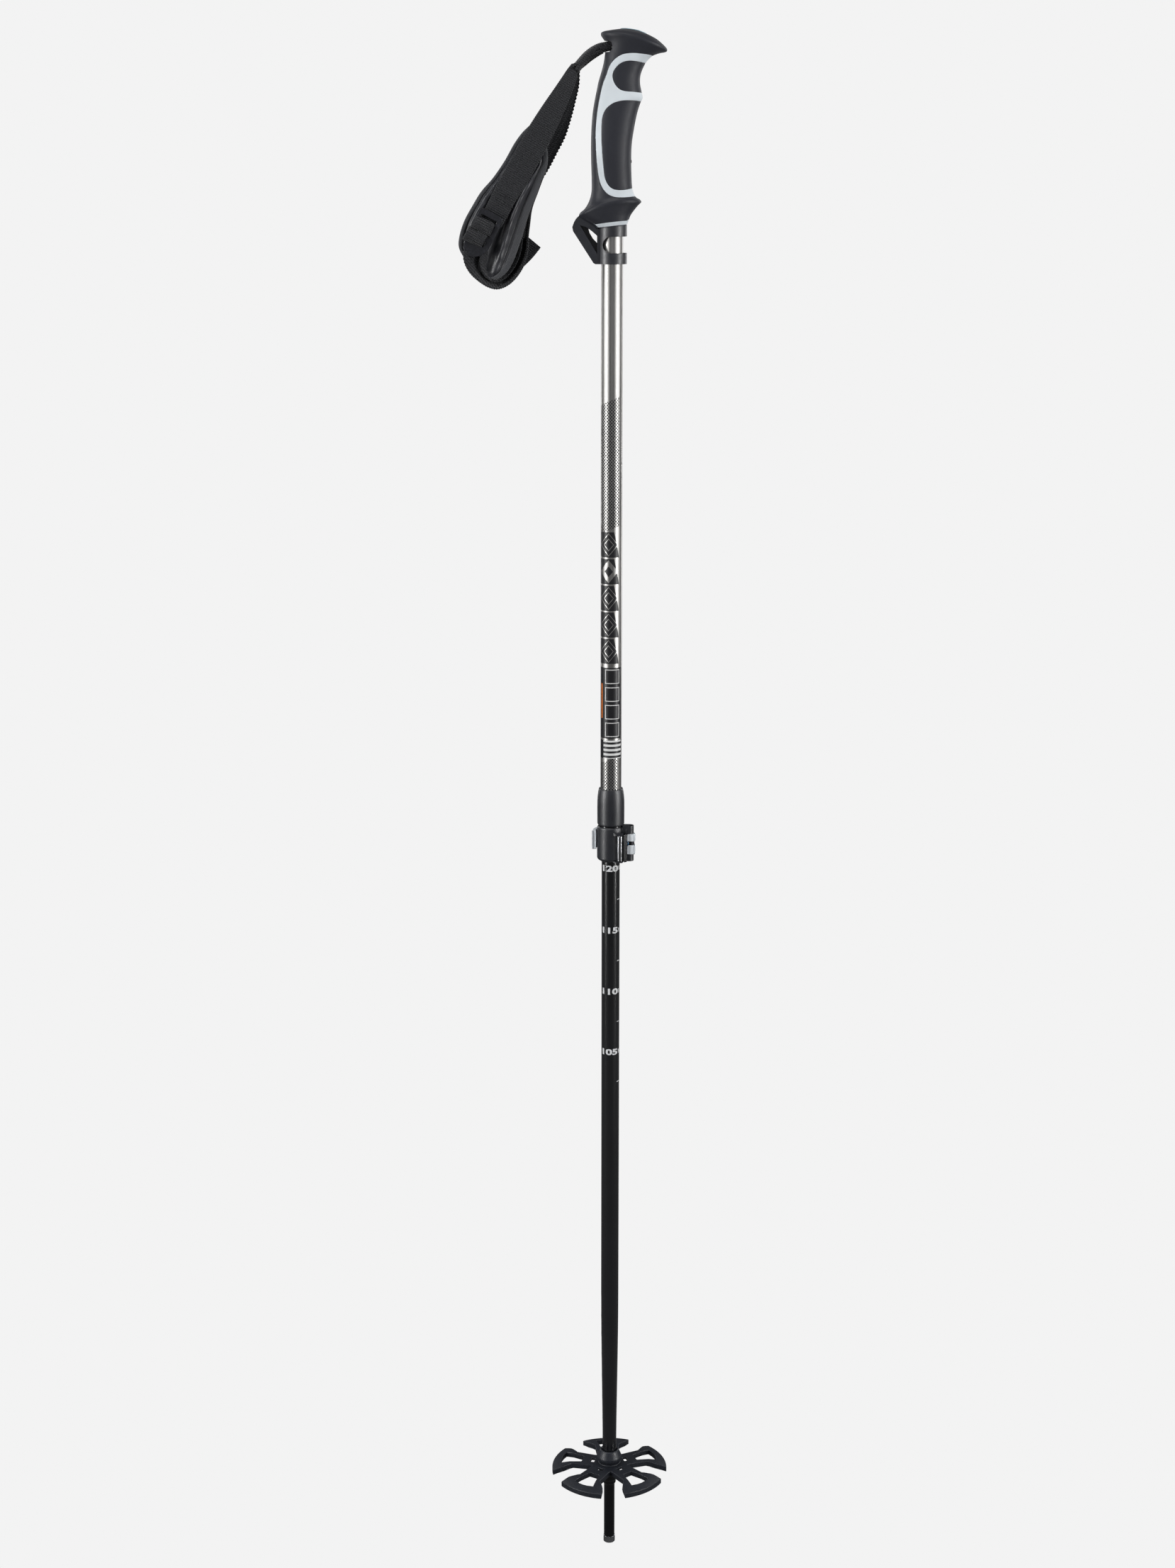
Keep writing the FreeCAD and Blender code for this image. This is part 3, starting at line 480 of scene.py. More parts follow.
# ------------------------------------------------------------------------ grip
PAIRS = [
    ((-11.31, 1065.48), (10.95, 1067.83), 11.0, 0.3),
    ((-13.92, 1067.67), (12.02, 1070.59), 12.4, 0.5),
    ((-19.13, 1070.54), (13.84, 1074.86), 13.6, 1.4),
    ((-22.98, 1072.83), (18.79, 1081.21), 14.9, 2.8),
    ((-24.21, 1074.32), (21.27, 1083.77), 15.5, 3.3),
    ((-23.25, 1076.08), (20.17, 1085.39), 15.3, 3.4),
    ((-20.22, 1078.64), (17.70, 1086.74), 14.4, 2.8),
    ((-17.19, 1083.50), (15.78, 1089.44), 13.5, 1.2),
    ((-15.26, 1089.98), (14.55, 1093.75), 13.1, 0.4),
    ((-14.97, 1098.59), (14.01, 1101.29), 13.1, 0.0),
    ((-15.37, 1112.04), (13.75, 1113.38), 13.3, 0.0),
    ((-15.49, 1122.77), (14.04, 1124.11), 13.5, 0.0),
    ((-15.20, 1134.82), (15.57, 1134.82), 13.7, 0.0),
    ((-14.22, 1146.85), (18.06, 1146.85), 13.6, 0.0),
    ((-12.98, 1154.32), (20.26, 1153.52), 13.4, 0.0),
    ((-12.15, 1158.58), (21.78, 1156.98), 13.3, 0.0),
    ((-11.32, 1162.31), (20.96, 1161.25), 13.1, 0.0),
    ((-10.21, 1167.63), (19.87, 1167.10), 12.8, 0.0),
    ((-8.97, 1171.89), (20.15, 1172.42), 12.6, 0.0),
    ((-7.59, 1176.41), (21.67, 1176.94), 12.5, 0.0),
    ((-6.35, 1181.45), (24.42, 1181.98), 12.6, 0.4),
    ((-5.52, 1186.76), (28.27, 1185.70), 13.0, 1.0),
    ((-5.00, 1192.06), (31.60, 1187.15), 14.0, 1.8),
    ((-5.40, 1195.60), (34.60, 1188.00), 15.0, 2.6),
    ((-6.80, 1197.89), (37.40, 1188.45), 15.6, 3.2),
    ((-8.25, 1200.00), (39.13, 1189.30), 16.0, 3.2),
    ((-8.38, 1201.66), (39.13, 1190.81), 15.9, 3.0),
    ((-6.87, 1202.78), (37.35, 1192.89), 15.0, 2.4),
    ((-2.47, 1203.71), (32.41, 1197.09), 13.2, 1.4),
    ((2.20, 1204.37), (26.92, 1200.14), 10.6, 0.6),
    ((6.87, 1204.90), (19.51, 1203.18), 6.6, 0.2),
]
BAND = [(32.0, 1185.6), (28.96, 1186.02), (20.78, 1187.13), (13.94, 1187.55), (7.12, 1186.68), (2.53, 1184.27), (-0.66, 1181.19),
        (-2.51, 1178.11), (-4.77, 1171.94), (-7.05, 1166.2), (-8.88, 1158.69), (-10.81, 1148.34),
        (-11.84, 1139.13), (-12.18, 1131.15), (-11.97, 1123.15), (-11.38, 1113.3), (-10.43, 1104.67),
        (-9.18, 1098.49), (-6.99, 1093.56), (-3.2, 1089.52), (0.59, 1087.86), (5.01, 1087.27),
        (11.3, 1087.49), (16.66, 1087.85), (20.0, 1088.1)]
PADU = [(27.0, 1180.3), (23.95, 1180.84), (16.18, 1182.14), (11.65, 1182.41), (7.09, 1181.4), (2.99, 1178.53),
        (0.48, 1175.03), (-0.21, 1171.94), (0.48, 1168.41), (2.5, 1164.87), (5.25, 1162.44),
        (8.9, 1161.35), (16.18, 1160.82), (20.74, 1160.37), (24.0, 1160.1)]
PADL = [(24.0, 1153.9), (20.54, 1154.34), (14.55, 1154.96), (6.34, 1154.77), (0.04, 1152.93), (-4.38, 1149.57),
        (-6.59, 1145.89), (-7.55, 1142.2), (-8.06, 1131.15), (-7.58, 1119.47), (-6.64, 1108.98),
        (-5.38, 1100.34), (-3.19, 1096.01), (-0.04, 1093.24), (4.39, 1092.29), (9.41, 1092.48),
        (14.47, 1093.42), (19.0, 1094.4)]


def signed(poly):
    """Signed distance (mm) to a closed region lying to the +X side of a line; positive inside."""
    line = [tuple(p) for p in catmull(poly, 0.8)]
    region = line + [(70.0, line[-1][1]), (70.0, line[0][1])]
    def f(x, z):
        best = 1e9
        for (ax, az), (bx, bz) in zip(line[:-1], line[1:]):
            dx, dz = bx - ax, bz - az
            t = max(0.0, min(1.0, ((x - ax) * dx + (z - az) * dz) / (dx * dx + dz * dz)))
            d = (x - ax - t * dx) ** 2 + (z - az - t * dz) ** 2
            if d < best:
                best = d
        inside = False
        j = len(region) - 1
        for i in range(len(region)):
            xi, zi = region[i]; xj, zj = region[j]
            if (zi > z) != (zj > z) and x < (xj - xi) * (z - zi) / (zj - zi) + xi:
                inside = not inside
            j = i
        return math.sqrt(best) * (1 if inside else -1)
    return f


def grip_mesh():
    flat = [(L[0], L[1], R[0], R[1], b, bow) for L, R, b, bow in PAIRS]
    ringsp = catmull(flat, 1.25)
    n = 112
    bm = bmesh.new()
    rings = []
    for (lx, lz, rx, rz, b, bow) in ringsp:
        cx, cz = (lx + rx) / 2, (lz + rz) / 2
        ux, uz = (rx - lx) / 2, (rz - lz) / 2
        a = math.hypot(ux, uz); ux /= a; uz /= a
        # the same superellipse power for every ring
        power = 2.28
        ring = []
        for k in range(n):
            t = 2 * math.pi * (k + 0.5) / n
            c, s = math.cos(t), math.sin(t)
            pc = math.copysign(abs(c) ** (2 / power), c)
            ps = math.copysign(abs(s) ** (2 / power), s)
            yy = b * ps
            zz = cz + uz * a * pc + bow * (1 - pc * pc)
            ring.append(bm.verts.new((cx + ux * a * pc, yy, zz)))
        rings.append(ring)
    for r0, r1 in zip(rings[:-1], rings[1:]):
        for k in range(n):
            m = (k + 1) % n
            bm.faces.new((r0[k], r0[m], r1[m], r1[k]))
    # dome over the crest
    top = rings[-1]
    c = sum((v.co for v in top), Vector()) / n
    prev = top
    for q, h in ((0.72, 0.14), (0.42, 0.25), (0.16, 0.30)):
        ring = [bm.verts.new(c + (v.co - c) * q + Vector((0, 0, h))) for v in top]
        for k in range(n):
            m = (k + 1) % n
            bm.faces.new((prev[k], prev[m], ring[m], ring[k]))
        prev = ring
    tip = bm.verts.new(c + Vector((0, 0, 0.32)))
    for k in range(n):
        bm.faces.new((prev[k], prev[(k + 1) % n], tip))
    bm.normal_update()
    return bm


def knife(bm, f):
    """Cuts faces along the zero line of f(x, z)."""
    val = {v: f(v.co.x, v.co.z) for v in bm.verts}
    for v in list(val):
        if abs(val[v]) < 1e-4:
            val[v] = 1e-4
    new = set()
    for e in list(bm.edges):
        a, b = e.verts
        va, vb = val[a], val[b]
        if (va > 0) != (vb > 0):
            fac = va / (va - vb)
            _, nv = bmesh.utils.edge_split(e, a, min(0.97, max(0.03, fac)))
            new.add(nv)
            val[nv] = 0.0
    bmesh.ops.connect_verts(bm, verts=list(new), check_degenerate=False)
    return new


def build_grip():
    bm = grip_mesh()
    fb, fu, fl = signed(BAND), signed(PADU), signed(PADL)
    # plane between the base ring and the body
    (l1, r1) = PAIRS[1][0], PAIRS[1][1]
    seams = set()
    for f in (fb, fu, fl):
        seams |= knife(bm, f)
    bm.normal_update()
    # shallow groove along each joint line
    for v in seams:
        if v.is_valid:
            v.co -= v.normal * 0.14
    # sort the faces into base ring, shell, pads and inlay; this first pass is redone below
    cls = {}
    for fc in bm.faces:
        c = fc.calc_center_median()
        slope = (r1[1] - l1[1]) / (r1[0] - l1[0])
        z_ring = l1[1] + (c.x - l1[0]) * slope + 0.5 * (1 - ((c.x + 0.95) / 13.0) ** 2)
        if c.z < z_ring:
            k = "base"
        elif fb(c.x, c.z) < 0:
            k = "shell"
        elif fu(c.x, c.z) > 0:
            k = "padu"
        elif fl(c.x, c.z) > 0:
            k = "padl"
        else:
            k = "inlay"
        cls[fc.index] = k
    bm.verts.index_update(); bm.faces.index_update()
    cls = {}
    for fc in bm.faces:
        c = fc.calc_center_median()
        slope = (r1[1] - l1[1]) / (r1[0] - l1[0])
        z_ring = l1[1] + (c.x - l1[0]) * slope + 0.4
        k = "base" if c.z < z_ring else "shell" if fb(c.x, c.z) < 0 else "padu" if fu(c.x, c.z) > 0 else "padl" if fl(c.x, c.z) > 0 else "inlay"
        cls.setdefault(k, []).append([v.index for v in fc.verts])
    V = [v.co.copy() for v in bm.verts]
    N = [v.normal.copy() for v in bm.verts]
    out = {}
    names = {"base": ("grip_base_ring_v", "grip_base_ring", "grip_grey"), "shell": ("grip_shell_v", "grip_shell", "grip_rubber"),
             "padu": ("finger_pad_upper_v", "finger_pad_upper", "grip_rubber"), "padl": ("finger_pad_lower_v", "finger_pad_lower", "grip_rubber"),
             "inlay": ("grip_inlay_v", "grip_inlay", "grip_grey")}
    for k, faces in cls.items():
        used = sorted({i for f in faces for i in f})
        idx = {i: j for j, i in enumerate(used)}
        nO = len(used)
        th = 1.5
        verts = [V[i] * mm for i in used] + [(V[i] - N[i] * th) * mm for i in used]
        fs = []
        count = {}
        for f in faces:
            g = [idx[i] for i in f]
            fs.append(g)
            fs.append([q + nO for q in reversed(g)])
            for a, b in zip(g, g[1:] + g[:1]):
                count[(a, b)] = count.get((a, b), 0) + 1
        for (a, b) in list(count):
            if (b, a) not in count:
                fs.append([b, a, a + nO, b + nO])
        nm, node, slot = names[k]
        o = new_obj(nm, verts, fs, M[slot], "upper_section")
        # only the rim walls are sharp
        me = o.data
        bmx = bmesh.new(); bmx.from_mesh(me)
        for e in bmx.edges:
            if len(e.link_faces) == 2 and e.calc_face_angle(0) > math.radians(50):
                e.smooth = False
        bmx.to_mesh(me); bmx.free()
        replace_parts(o, node)
        out[k] = o
    bm.free()
    return out


grip = build_grip()


def cut_slot(o):
    """Opens the strap slot in the back of the neck."""
    bm = bmesh.new()
    prof = [(-14.0, 1188.6), (-2.6, 1188.6), (-0.6, 1190.0), (-0.2, 1192.4), (-1.0, 1195.4), (-3.4, 1196.6), (-14.0, 1196.2)]
    a = [bm.verts.new((x * mm, -0.014, z * mm)) for x, z in prof]
    b = [bm.verts.new((x * mm, 0.014, z * mm)) for x, z in prof]
    bm.faces.new(a); bm.faces.new(list(reversed(b)))
    for k in range(len(prof)):
        m = (k + 1) % len(prof)
        bm.faces.new((a[m], a[k], b[k], b[m]))
    bmesh.ops.recalc_face_normals(bm, faces=bm.faces)
    me = bpy.data.meshes.new("slot_cut"); bm.to_mesh(me); bm.free()
    c = bpy.data.objects.new("slot_cut", me)
    bpy.context.collection.objects.link(c)
    md = o.modifiers.new("slot", "BOOLEAN")
    md.operation = "DIFFERENCE"
    md.solver = "EXACT"
    md.object = c
    dg = bpy.context.evaluated_depsgraph_get()
    out = bpy.data.meshes.new_from_object(o.evaluated_get(dg))
    o.modifiers.remove(md)
    o.data = out
    bpy.data.objects.remove(c)


cut_slot(grip["shell"])


def surface_z(x, y):
    """Height of the cap over a plan point, in millimetres."""
    o = grip["shell"]
    hit, loc, nor, idx = o.ray_cast(Vector((x * mm, y * mm, 1.25)), Vector((0, 0, -1)))
    return loc.z / mm if hit else None


def cap_badge():
    """Raised oval inlay on the crown of the cap, with a smaller oval set into it."""
    cx, a, b = 15.2, 9.6, 4.6
    rings = [(1.0, -0.5), (1.0, 0.12), (0.95, 0.30), (0.85, 0.36), (0.62, 0.36), (0.58, 0.24), (0.3, 0.26)]
    n = 64
    verts, faces = [], []
    for q, lift in rings:
        for k in range(n):
            t = 2 * math.pi * k / n
            x, y = cx + a * q * math.cos(t), b * q * math.sin(t)
            verts.append((x * mm, y * mm, (surface_z(x, y) + lift) * mm))
    for i in range(len(rings) - 1):
        for k in range(n):
            m = (k + 1) % n
            faces.append((i * n + k, i * n + m, (i + 1) * n + m, (i + 1) * n + k))
    c = len(verts)
    verts.append((cx * mm, 0, (surface_z(cx, 0) + 0.27) * mm))
    base = (len(rings) - 1) * n
    for k in range(n):
        faces.append((base + k, base + (k + 1) % n, c))
    faces.append(tuple(reversed(range(n))))
    o = new_obj("cap_inlay_v", verts, faces, M["cap_inlay"], "upper_section")
    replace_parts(o, "cap_inlay")


cap_badge()


def rod(name, p0, p1, r, mat, body, n=24):
    p0, p1 = Vector(p0), Vector(p1)
    d = (p1 - p0).normalized()
    w = d.orthogonal().normalized(); u = d.cross(w)
    verts, faces = [], []
    st = [(0.0, r - 0.3), (0.3, r), ((p1 - p0).length - 0.3, r), ((p1 - p0).length, r - 0.3)]
    for q, rr in st:
        for k in range(n):
            t = 2 * math.pi * k / n
            verts.append((p0 + d * q + w * (math.cos(t) * rr) + u * (math.sin(t) * rr)) * mm)
    for i in range(3):
        for k in range(n):
            m = (k + 1) % n
            faces.append((i * n + k, i * n + m, (i + 1) * n + m, (i + 1) * n + k))
    faces.append(tuple(reversed(range(n))))
    faces.append(tuple(3 * n + k for k in range(n)))
    return new_obj(name, verts, faces, mat, body)


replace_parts(rod("strap_anchor_pin_v", (2.6, -6.6, 1193.0), (2.6, 6.6, 1193.0), 1.5, M["dark_steel"], "upper_section"), "strap_anchor_pin")


def prism_y(name, pts, y0, y1, mat, body):
    n = len(pts)
    verts = [(x * mm, y0 * mm, z * mm) for x, z in pts] + [(x * mm, y1 * mm, z * mm) for x, z in pts]
    faces = [tuple(range(n)), tuple(reversed(range(n, 2 * n)))]
    for k in range(n):
        m = (k + 1) % n
        faces.append((m, k, n + k, n + m))
    return new_obj(name, verts, faces, mat, body, smooth=False)


def base_gasket():
    """Thin washer between the grip's base ring and the top of the hook's sleeve."""
    n = 72
    verts, faces = [], []
    for r, top in ((8.15, 0), (10.55, 0), (10.55, 1), (8.15, 1)):
        for k in range(n):
            t = 2 * math.pi * k / n
            x, y = r * math.cos(t), r * math.sin(t)
            z = (1066.67 + 0.1056 * x + 0.15) if top else (1066.13 + 0.1087 * x - 0.06)
            verts.append((x * mm, y * mm, z * mm))
    for i in range(4):
        j = (i + 1) % 4
        for k in range(n):
            m = (k + 1) % n
            faces.append((i * n + k, i * n + m, j * n + m, j * n + k))
    return new_obj("base_gasket", verts, faces, M["grip_rubber"], "upper_section", smooth=False)


base_gasket()
# soft seat between the flange of the grip and the strut of the hook
prism_y("flange_seat", [(-24.6, 1073.5), (-23.1, 1072.2), (-19.2, 1069.9), (-13.9, 1066.9), (-11.7, 1064.8), (-9.6, 1065.6), (-11.0, 1068.6), (-18.4, 1072.2), (-23.6, 1074.6)],
        -6.0, 6.0, M["grip_rubber"], "upper_section")
rod("thread_patch", (12.2, -5.22, 601.05), (13.0, -4.52, 601.05), 1.32, M["patch"], "upper_section")
rod("vent_plug_v", (11.5, -2.4, 1112.4), (13.95, -2.6, 1112.4), 1.2, M["dark_steel"], "upper_section")

# ----------------------------------------------------------------- wrist strap
def ribbon(name, left, right, yc, thick, mat, body="strap", ribs=1.5, amp=0.16, na=14, crown=0.35, step=0.3, scallop=(0.13, 1.5)):
    """Closed woven strip between two edge lines in the XZ plane. yc(s, t) gives the middle's y."""
    L = catmull(left, 1.0); R = catmull(right, 1.0)
    length = sum(math.hypot(a[0] - b[0], a[1] - b[1]) for a, b in zip(L[:-1], L[1:]))
    n = max(8, int(length / step))
    L, R = resample(L, n), resample(R, n)
    verts, faces = [], []
    ringn = 2 * (na + 1)
    for i in range(n):
        s = i / (n - 1)
        d = s * length
        rib = amp * math.sin(2 * math.pi * d / ribs)
        for side in (0, 1):
            rng = range(na + 1) if side == 0 else range(na, -1, -1)
            for j in rng:
                t = j / na
                edge = min(1.0, min(t, 1 - t) * na / 1.5)
                h = thick / 2 * (0.35 + 0.65 * math.sqrt(edge)) + rib * (0.4 + 0.6 * edge)
                if side == 1:
                    h = -h
                ew = scallop[0] * math.sin(2 * math.pi * d / scallop[1])
                tt = t + (ew / 18.0 if t > 0.5 else -ew / 18.0) * (1 if edge < 0.7 else 0)
                x = L[i][0] + (R[i][0] - L[i][0]) * tt
                z = L[i][1] + (R[i][1] - L[i][1]) * tt
                y = yc(s, t) - crown * (1 - (2 * t - 1) ** 2) - h
                verts.append((x * mm, y * mm, z * mm))
    for i in range(n - 1):
        for k in range(ringn):
            m = (k + 1) % ringn
            faces.append((i * ringn + k, i * ringn + m, (i + 1) * ringn + m, (i + 1) * ringn + k))
    faces.append(tuple(reversed(range(ringn))))
    faces.append(tuple((n - 1) * ringn + k for k in range(ringn)))
    return new_obj(name, verts, faces, mat, body)


def sweep(name, path, half_w, half_t, mat, body, ribs=1.25, amp=0.14, n_around=28, step=0.35, twist=None, power=2.6, lobes=0.0):
    """Closed strip along a 3-D path (x, y, z), width along Y turned by twist."""
    P = catmull(path, 1.0)
    length = sum(math.dist(a, b) for a, b in zip(P[:-1], P[1:]))
    n = max(8, int(length / step))
    P = [Vector(p) for p in resample(P, n)]
    verts, faces = [], []
    for i in range(n):
        s = i / (n - 1)
        tan = (P[min(n - 1, i + 1)] - P[max(0, i - 1)]).normalized()
        w = Vector((0, 1, 0)) - tan * tan.y
        w.normalize()
        if twist:
            from mathutils import Quaternion
            w.rotate(Quaternion(tan, math.radians(twist(s))))
        u = tan.cross(w)
        hw = half_w(s) if callable(half_w) else half_w
        ht = half_t(s) if callable(half_t) else half_t
        rib = amp * math.sin(2 * math.pi * s * length / ribs)
        for k in range(n_around):
            a = 2 * math.pi * k / n_around
            c, q = math.cos(a), math.sin(a)
            pc = math.copysign(abs(c) ** (2 / power), c)
            ps = math.copysign(abs(q) ** (2 / power), q)
            fold = 1.0 - lobes * math.exp(-(pc / 0.16) ** 2)
            v = P[i] + w * (pc * (hw + rib)) + u * (ps * (ht * fold + rib))
            verts.append(v * mm)
    for i in range(n - 1):
        for k in range(n_around):
            m = (k + 1) % n_around
            faces.append((i * n_around + k, i * n_around + m, (i + 1) * n_around + m, (i + 1) * n_around + k))
    faces.append(tuple(reversed(range(n_around))))
    faces.append(tuple((n - 1) * n_around + k for k in range(n_around)))
    return new_obj(name, verts, faces, mat, body)


# webbing loop in the slot, and the two folded strands outside it
anchor = sweep("strap_anchor_loop_v", [(-0.6, 0, 1193.1), (-3.0, 0, 1192.8), (-6.0, 0, 1192.1), (-9.0, 0, 1191.0)],
               5.6, lambda s: 3.5 - 0.1 * s, M["webbing"], "upper_section", power=3.0, lobes=0.22)
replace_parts(anchor, "strap_anchor_loop")
root_a = sweep("strap_root_upper", [(-7.0, -0.4, 1193.4), (-9.6, -0.4, 1192.7), (-14.2, -0.5, 1190.3), (-18.6, -0.6, 1187.0), (-22.6, -0.4, 1183.1), (-25.9, 0.2, 1179.8), (-28.6, 0.8, 1177.6)],
               lambda s: 5.4 - 1.4 * math.sin(math.pi * s) + 0.8 * s, lambda s: 2.15 - 0.35 * s, M["webbing"], "strap", power=2.8, lobes=0.10, twist=lambda s: -16 * math.sin(math.pi * s))
root_b = sweep("strap_root_lower", [(-7.2, 0.2, 1189.6), (-9.4, 0.2, 1188.8), (-13.4, 0.1, 1186.8), (-17.2, -0.3, 1184.4), (-20.6, -0.8, 1181.6), (-23.6, -1.2, 1178.8), (-25.6, -1.4, 1175.6)],
               lambda s: 5.2 - 1.0 * math.sin(math.pi * s) + 0.6 * s, lambda s: 2.0 - 0.1 * s, M["webbing"], "strap", power=2.6, lobes=0.12, twist=lambda s: 22 * math.sin(math.pi * s))
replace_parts(root_a, "strap_root", "strap_gather")



FL = [(-29.4, 1180.6), (-32.6, 1176.6), (-36.4, 1171.0), (-41.02, 1164.44), (-50.85, 1150.75), (-61.92, 1134.06), (-74.21, 1112.52), (-85.27, 1093.31), (-90.0, 1084.0), (-95.4, 1073.6)]
FR = [(-24.4, 1177.6), (-25.0, 1173.6), (-26.6, 1167.0), (-30.0, 1157.9), (-38.61, 1138.83), (-47.21, 1122.1), (-60.74, 1098.11), (-71.8, 1081.27), (-75.2, 1074.8), (-80.6, 1065.6)]


def front_y(s, t):
    """Middle of the front run: it fans out of the fold and lies in a shallow gutter of the pad."""
    return -10.2 + 7.4 * max(0.0, 1 - s / 0.14) ** 1.6 - 0.5 * math.sin(math.pi * min(1.0, s * 1.2)) + 0.35 * math.sin(9 * s + 2 * t)


front = ribbon("strap_front_run_v", FL, FR, front_y, 1.7, M["webbing"], crown=0.5)
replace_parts(front, "strap_front_run")
gather_fold = sweep("strap_gather_fold", [(-23.6, -2.2, 1180.4), (-26.0, -3.6, 1180.2), (-28.6, -4.0, 1179.4), (-30.6, -3.6, 1177.0), (-31.6, -2.6, 1174.2)],
                    2.6, 1.1, M["webbing"], "strap", power=3.0, lobes=0.1)
BL = [(-28.6, 1177.4), (-33.0, 1166.0), (-38.0, 1152.0), (-44.0, 1138.0), (-50.0, 1124.0), (-56.5, 1110.5), (-63.0, 1097.0), (-69.0, 1085.0)]
BR = [(-23.5, 1178.2), (-24.0, 1166.22), (-26.4, 1155.52), (-29.5, 1143.6), (-34.3, 1129.28), (-40.0, 1118.51),
      (-46.2, 1107.0), (-54.0, 1095.0), (-61.0, 1084.0)]
back = ribbon("strap_back_run_v", BL, BR, lambda s, t: 8.6 - 8.2 * max(0.0, 1 - s / 0.22) ** 1.5 + 0.6 * math.sin(3 * s), 1.9, M["webbing"], crown=-0.4, scallop=(0.55, 2.6), amp=0.24)
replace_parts(back, "strap_back_run")

PL = [(-60.2, 1137.0), (-64.8, 1132.6), (-70.2, 1125.6), (-77.89, 1112.52), (-86.49, 1100.52), (-95.09, 1090.9),
      (-101.23, 1081.27), (-107.38, 1070.41), (-111.07, 1059.53), (-111.69, 1052.27), (-109.25, 1046.22), (-104.2, 1040.4), (-96.6, 1034.0)]
PR = [(-48.6, 1128.0), (-46.9, 1117.0), (-47.6, 1108.0), (-50.92, 1100.52), (-55.85, 1087.29), (-60.77, 1075.24),
      (-65.69, 1059.53), (-71.85, 1042.58), (-76.2, 1035.0), (-80.8, 1030.6), (-85.36, 1028.4), (-89.4, 1029.4)]
RIDGE_L = [(-63.0, 1129.0), (-72.4, 1113.7), (-83.4, 1098.1), (-92.6, 1084.6), (-98.6, 1075.0), (-103.6, 1063.0), (-106.2, 1053.0)]
RIDGE_R = [(-50.6, 1112.5), (-59.5, 1098.1), (-67.2, 1085.0), (-73.6, 1070.4), (-79.8, 1051.0), (-85.6, 1034.4)]
VALLEY = [(-66.0, 1093.0), (-75.0, 1077.0), (-82.6, 1062.0), (-88.2, 1048.0), (-91.8, 1036.0)]


def near(line):
    pts = catmull(line, 2.0)
    cum = [0.0]
    for a, b in zip(pts[:-1], pts[1:]):
        cum.append(cum[-1] + math.hypot(b[0] - a[0], b[1] - a[1]))
    def f(x, z):
        best, where = 1e9, 0.0
        for k, ((ax, az), (bx, bz)) in enumerate(zip(pts[:-1], pts[1:])):
            dx, dz = bx - ax, bz - az
            t = max(0.0, min(1.0, ((x - ax) * dx + (z - az) * dz) / (dx * dx + dz * dz)))
            d = (x - ax - t * dx) ** 2 + (z - az - t * dz) ** 2
            if d < best:
                best, where = d, (cum[k] + t * (cum[k + 1] - cum[k])) / cum[-1]
        return math.sqrt(best), where
    return f


near_l, near_r, near_v = near(RIDGE_L), near(RIDGE_R), near(VALLEY)


def pad_front(t, s, x, z):
    """How far the pad's face stands out of its middle plane."""
    e = min(t, 1 - t)
    dl, al = near_l(x, z)
    dr, ar = near_r(x, z)
    dv, av = near_v(x, z)
    left = math.exp(-(dl / 3.0) ** 2) * (0.3 + 2.5 * math.sin(math.pi * min(1.0, 0.08 + al * 0.95)) ** 1.1)
    right = math.exp(-(dr / 2.5) ** 2) * (0.4 + 3.3 * math.sin(math.pi * min(1.0, 0.1 + ar * 0.86)) ** 0.8)
    valley = -1.5 * math.exp(-(dv / 3.0) ** 2) * min(1.0, av * 2.2)
    crease = 0.20 * math.sin(z * 0.55 + 0.25 * x) * math.exp(-(dr / 4.0) ** 2) + 0.14 * math.sin(z * 0.9 - 0.3 * x) * math.exp(-(dl / 4.0) ** 2)
    pinch = -0.85 * math.exp(-((t - 0.085) / 0.018) ** 2) - 0.85 * math.exp(-((t - 0.84) / 0.020) ** 2)
    edge = -0.9 * max(0.0, 1 - e / 0.03) ** 2
    fade = 1.0 if 0.085 < t < 0.84 else 0.35
    return 1.0 + (left + right + valley + crease) * fade + pinch + edge


def plain_front(t, s, x, z):
    return 0.9 + 0.7 * math.sin(math.pi * t) ** 0.6 + 0.12 * math.sin(0.8 * z)


def pad_piece(name, left, right, y_mid, sgn, node, face, slot="pad_leather", mat=None, n=190, na=64):
    L, R = resample(catmull(left, 1.0), n), resample(catmull(right, 1.0), n)
    verts, faces = [], []
    for side in (0, 1):
        for i in range(n):
            s = i / (n - 1)
            cap = math.sqrt(max(0.0, 1 - max(0.0, (0.03 - s) / 0.03) ** 2)) * math.sqrt(max(0.0, 1 - max(0.0, (s - 0.97) / 0.03) ** 2))
            for j in range(na + 1):
                t = j / na
                x = L[i][0] + (R[i][0] - L[i][0]) * t
                z = L[i][1] + (R[i][1] - L[i][1]) * t
                if side == 0:
                    y = y_mid - sgn * face(t, s, x, z) * (0.35 + 0.65 * cap)
                else:
                    y = y_mid + sgn * (0.8 + 0.9 * math.sin(math.pi * t) ** 0.7) * (0.3 + 0.7 * cap)
                verts.append((x * mm, y * mm, z * mm))
    W = na + 1
    off = n * W
    for i in range(n - 1):
        for j in range(na):
            a, b, c, d = i * W + j, i * W + j + 1, (i + 1) * W + j + 1, (i + 1) * W + j
            faces.append((a, b, c, d))
            faces.append((off + d, off + c, off + b, off + a))
    for i in range(n - 1):
        for j in (0, na):
            a, d = i * W + j, (i + 1) * W + j
            faces.append((a, d, off + d, off + a) if j == 0 else (d, a, off + a, off + d))
    for j in range(na):
        for i in (0, n - 1):
            a, b = i * W + j, i * W + j + 1
            faces.append((a, off + a, off + b, b) if i == 0 else (b, off + b, off + a, a))
    o = new_obj(name, verts, faces, mat or M[slot], "strap")
    if node:
        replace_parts(o, node)
    return o, L, R


pad, padL, padR = pad_piece("wrist_pad_v", PL, PR, -6.4, 1, "wrist_pad", pad_front)


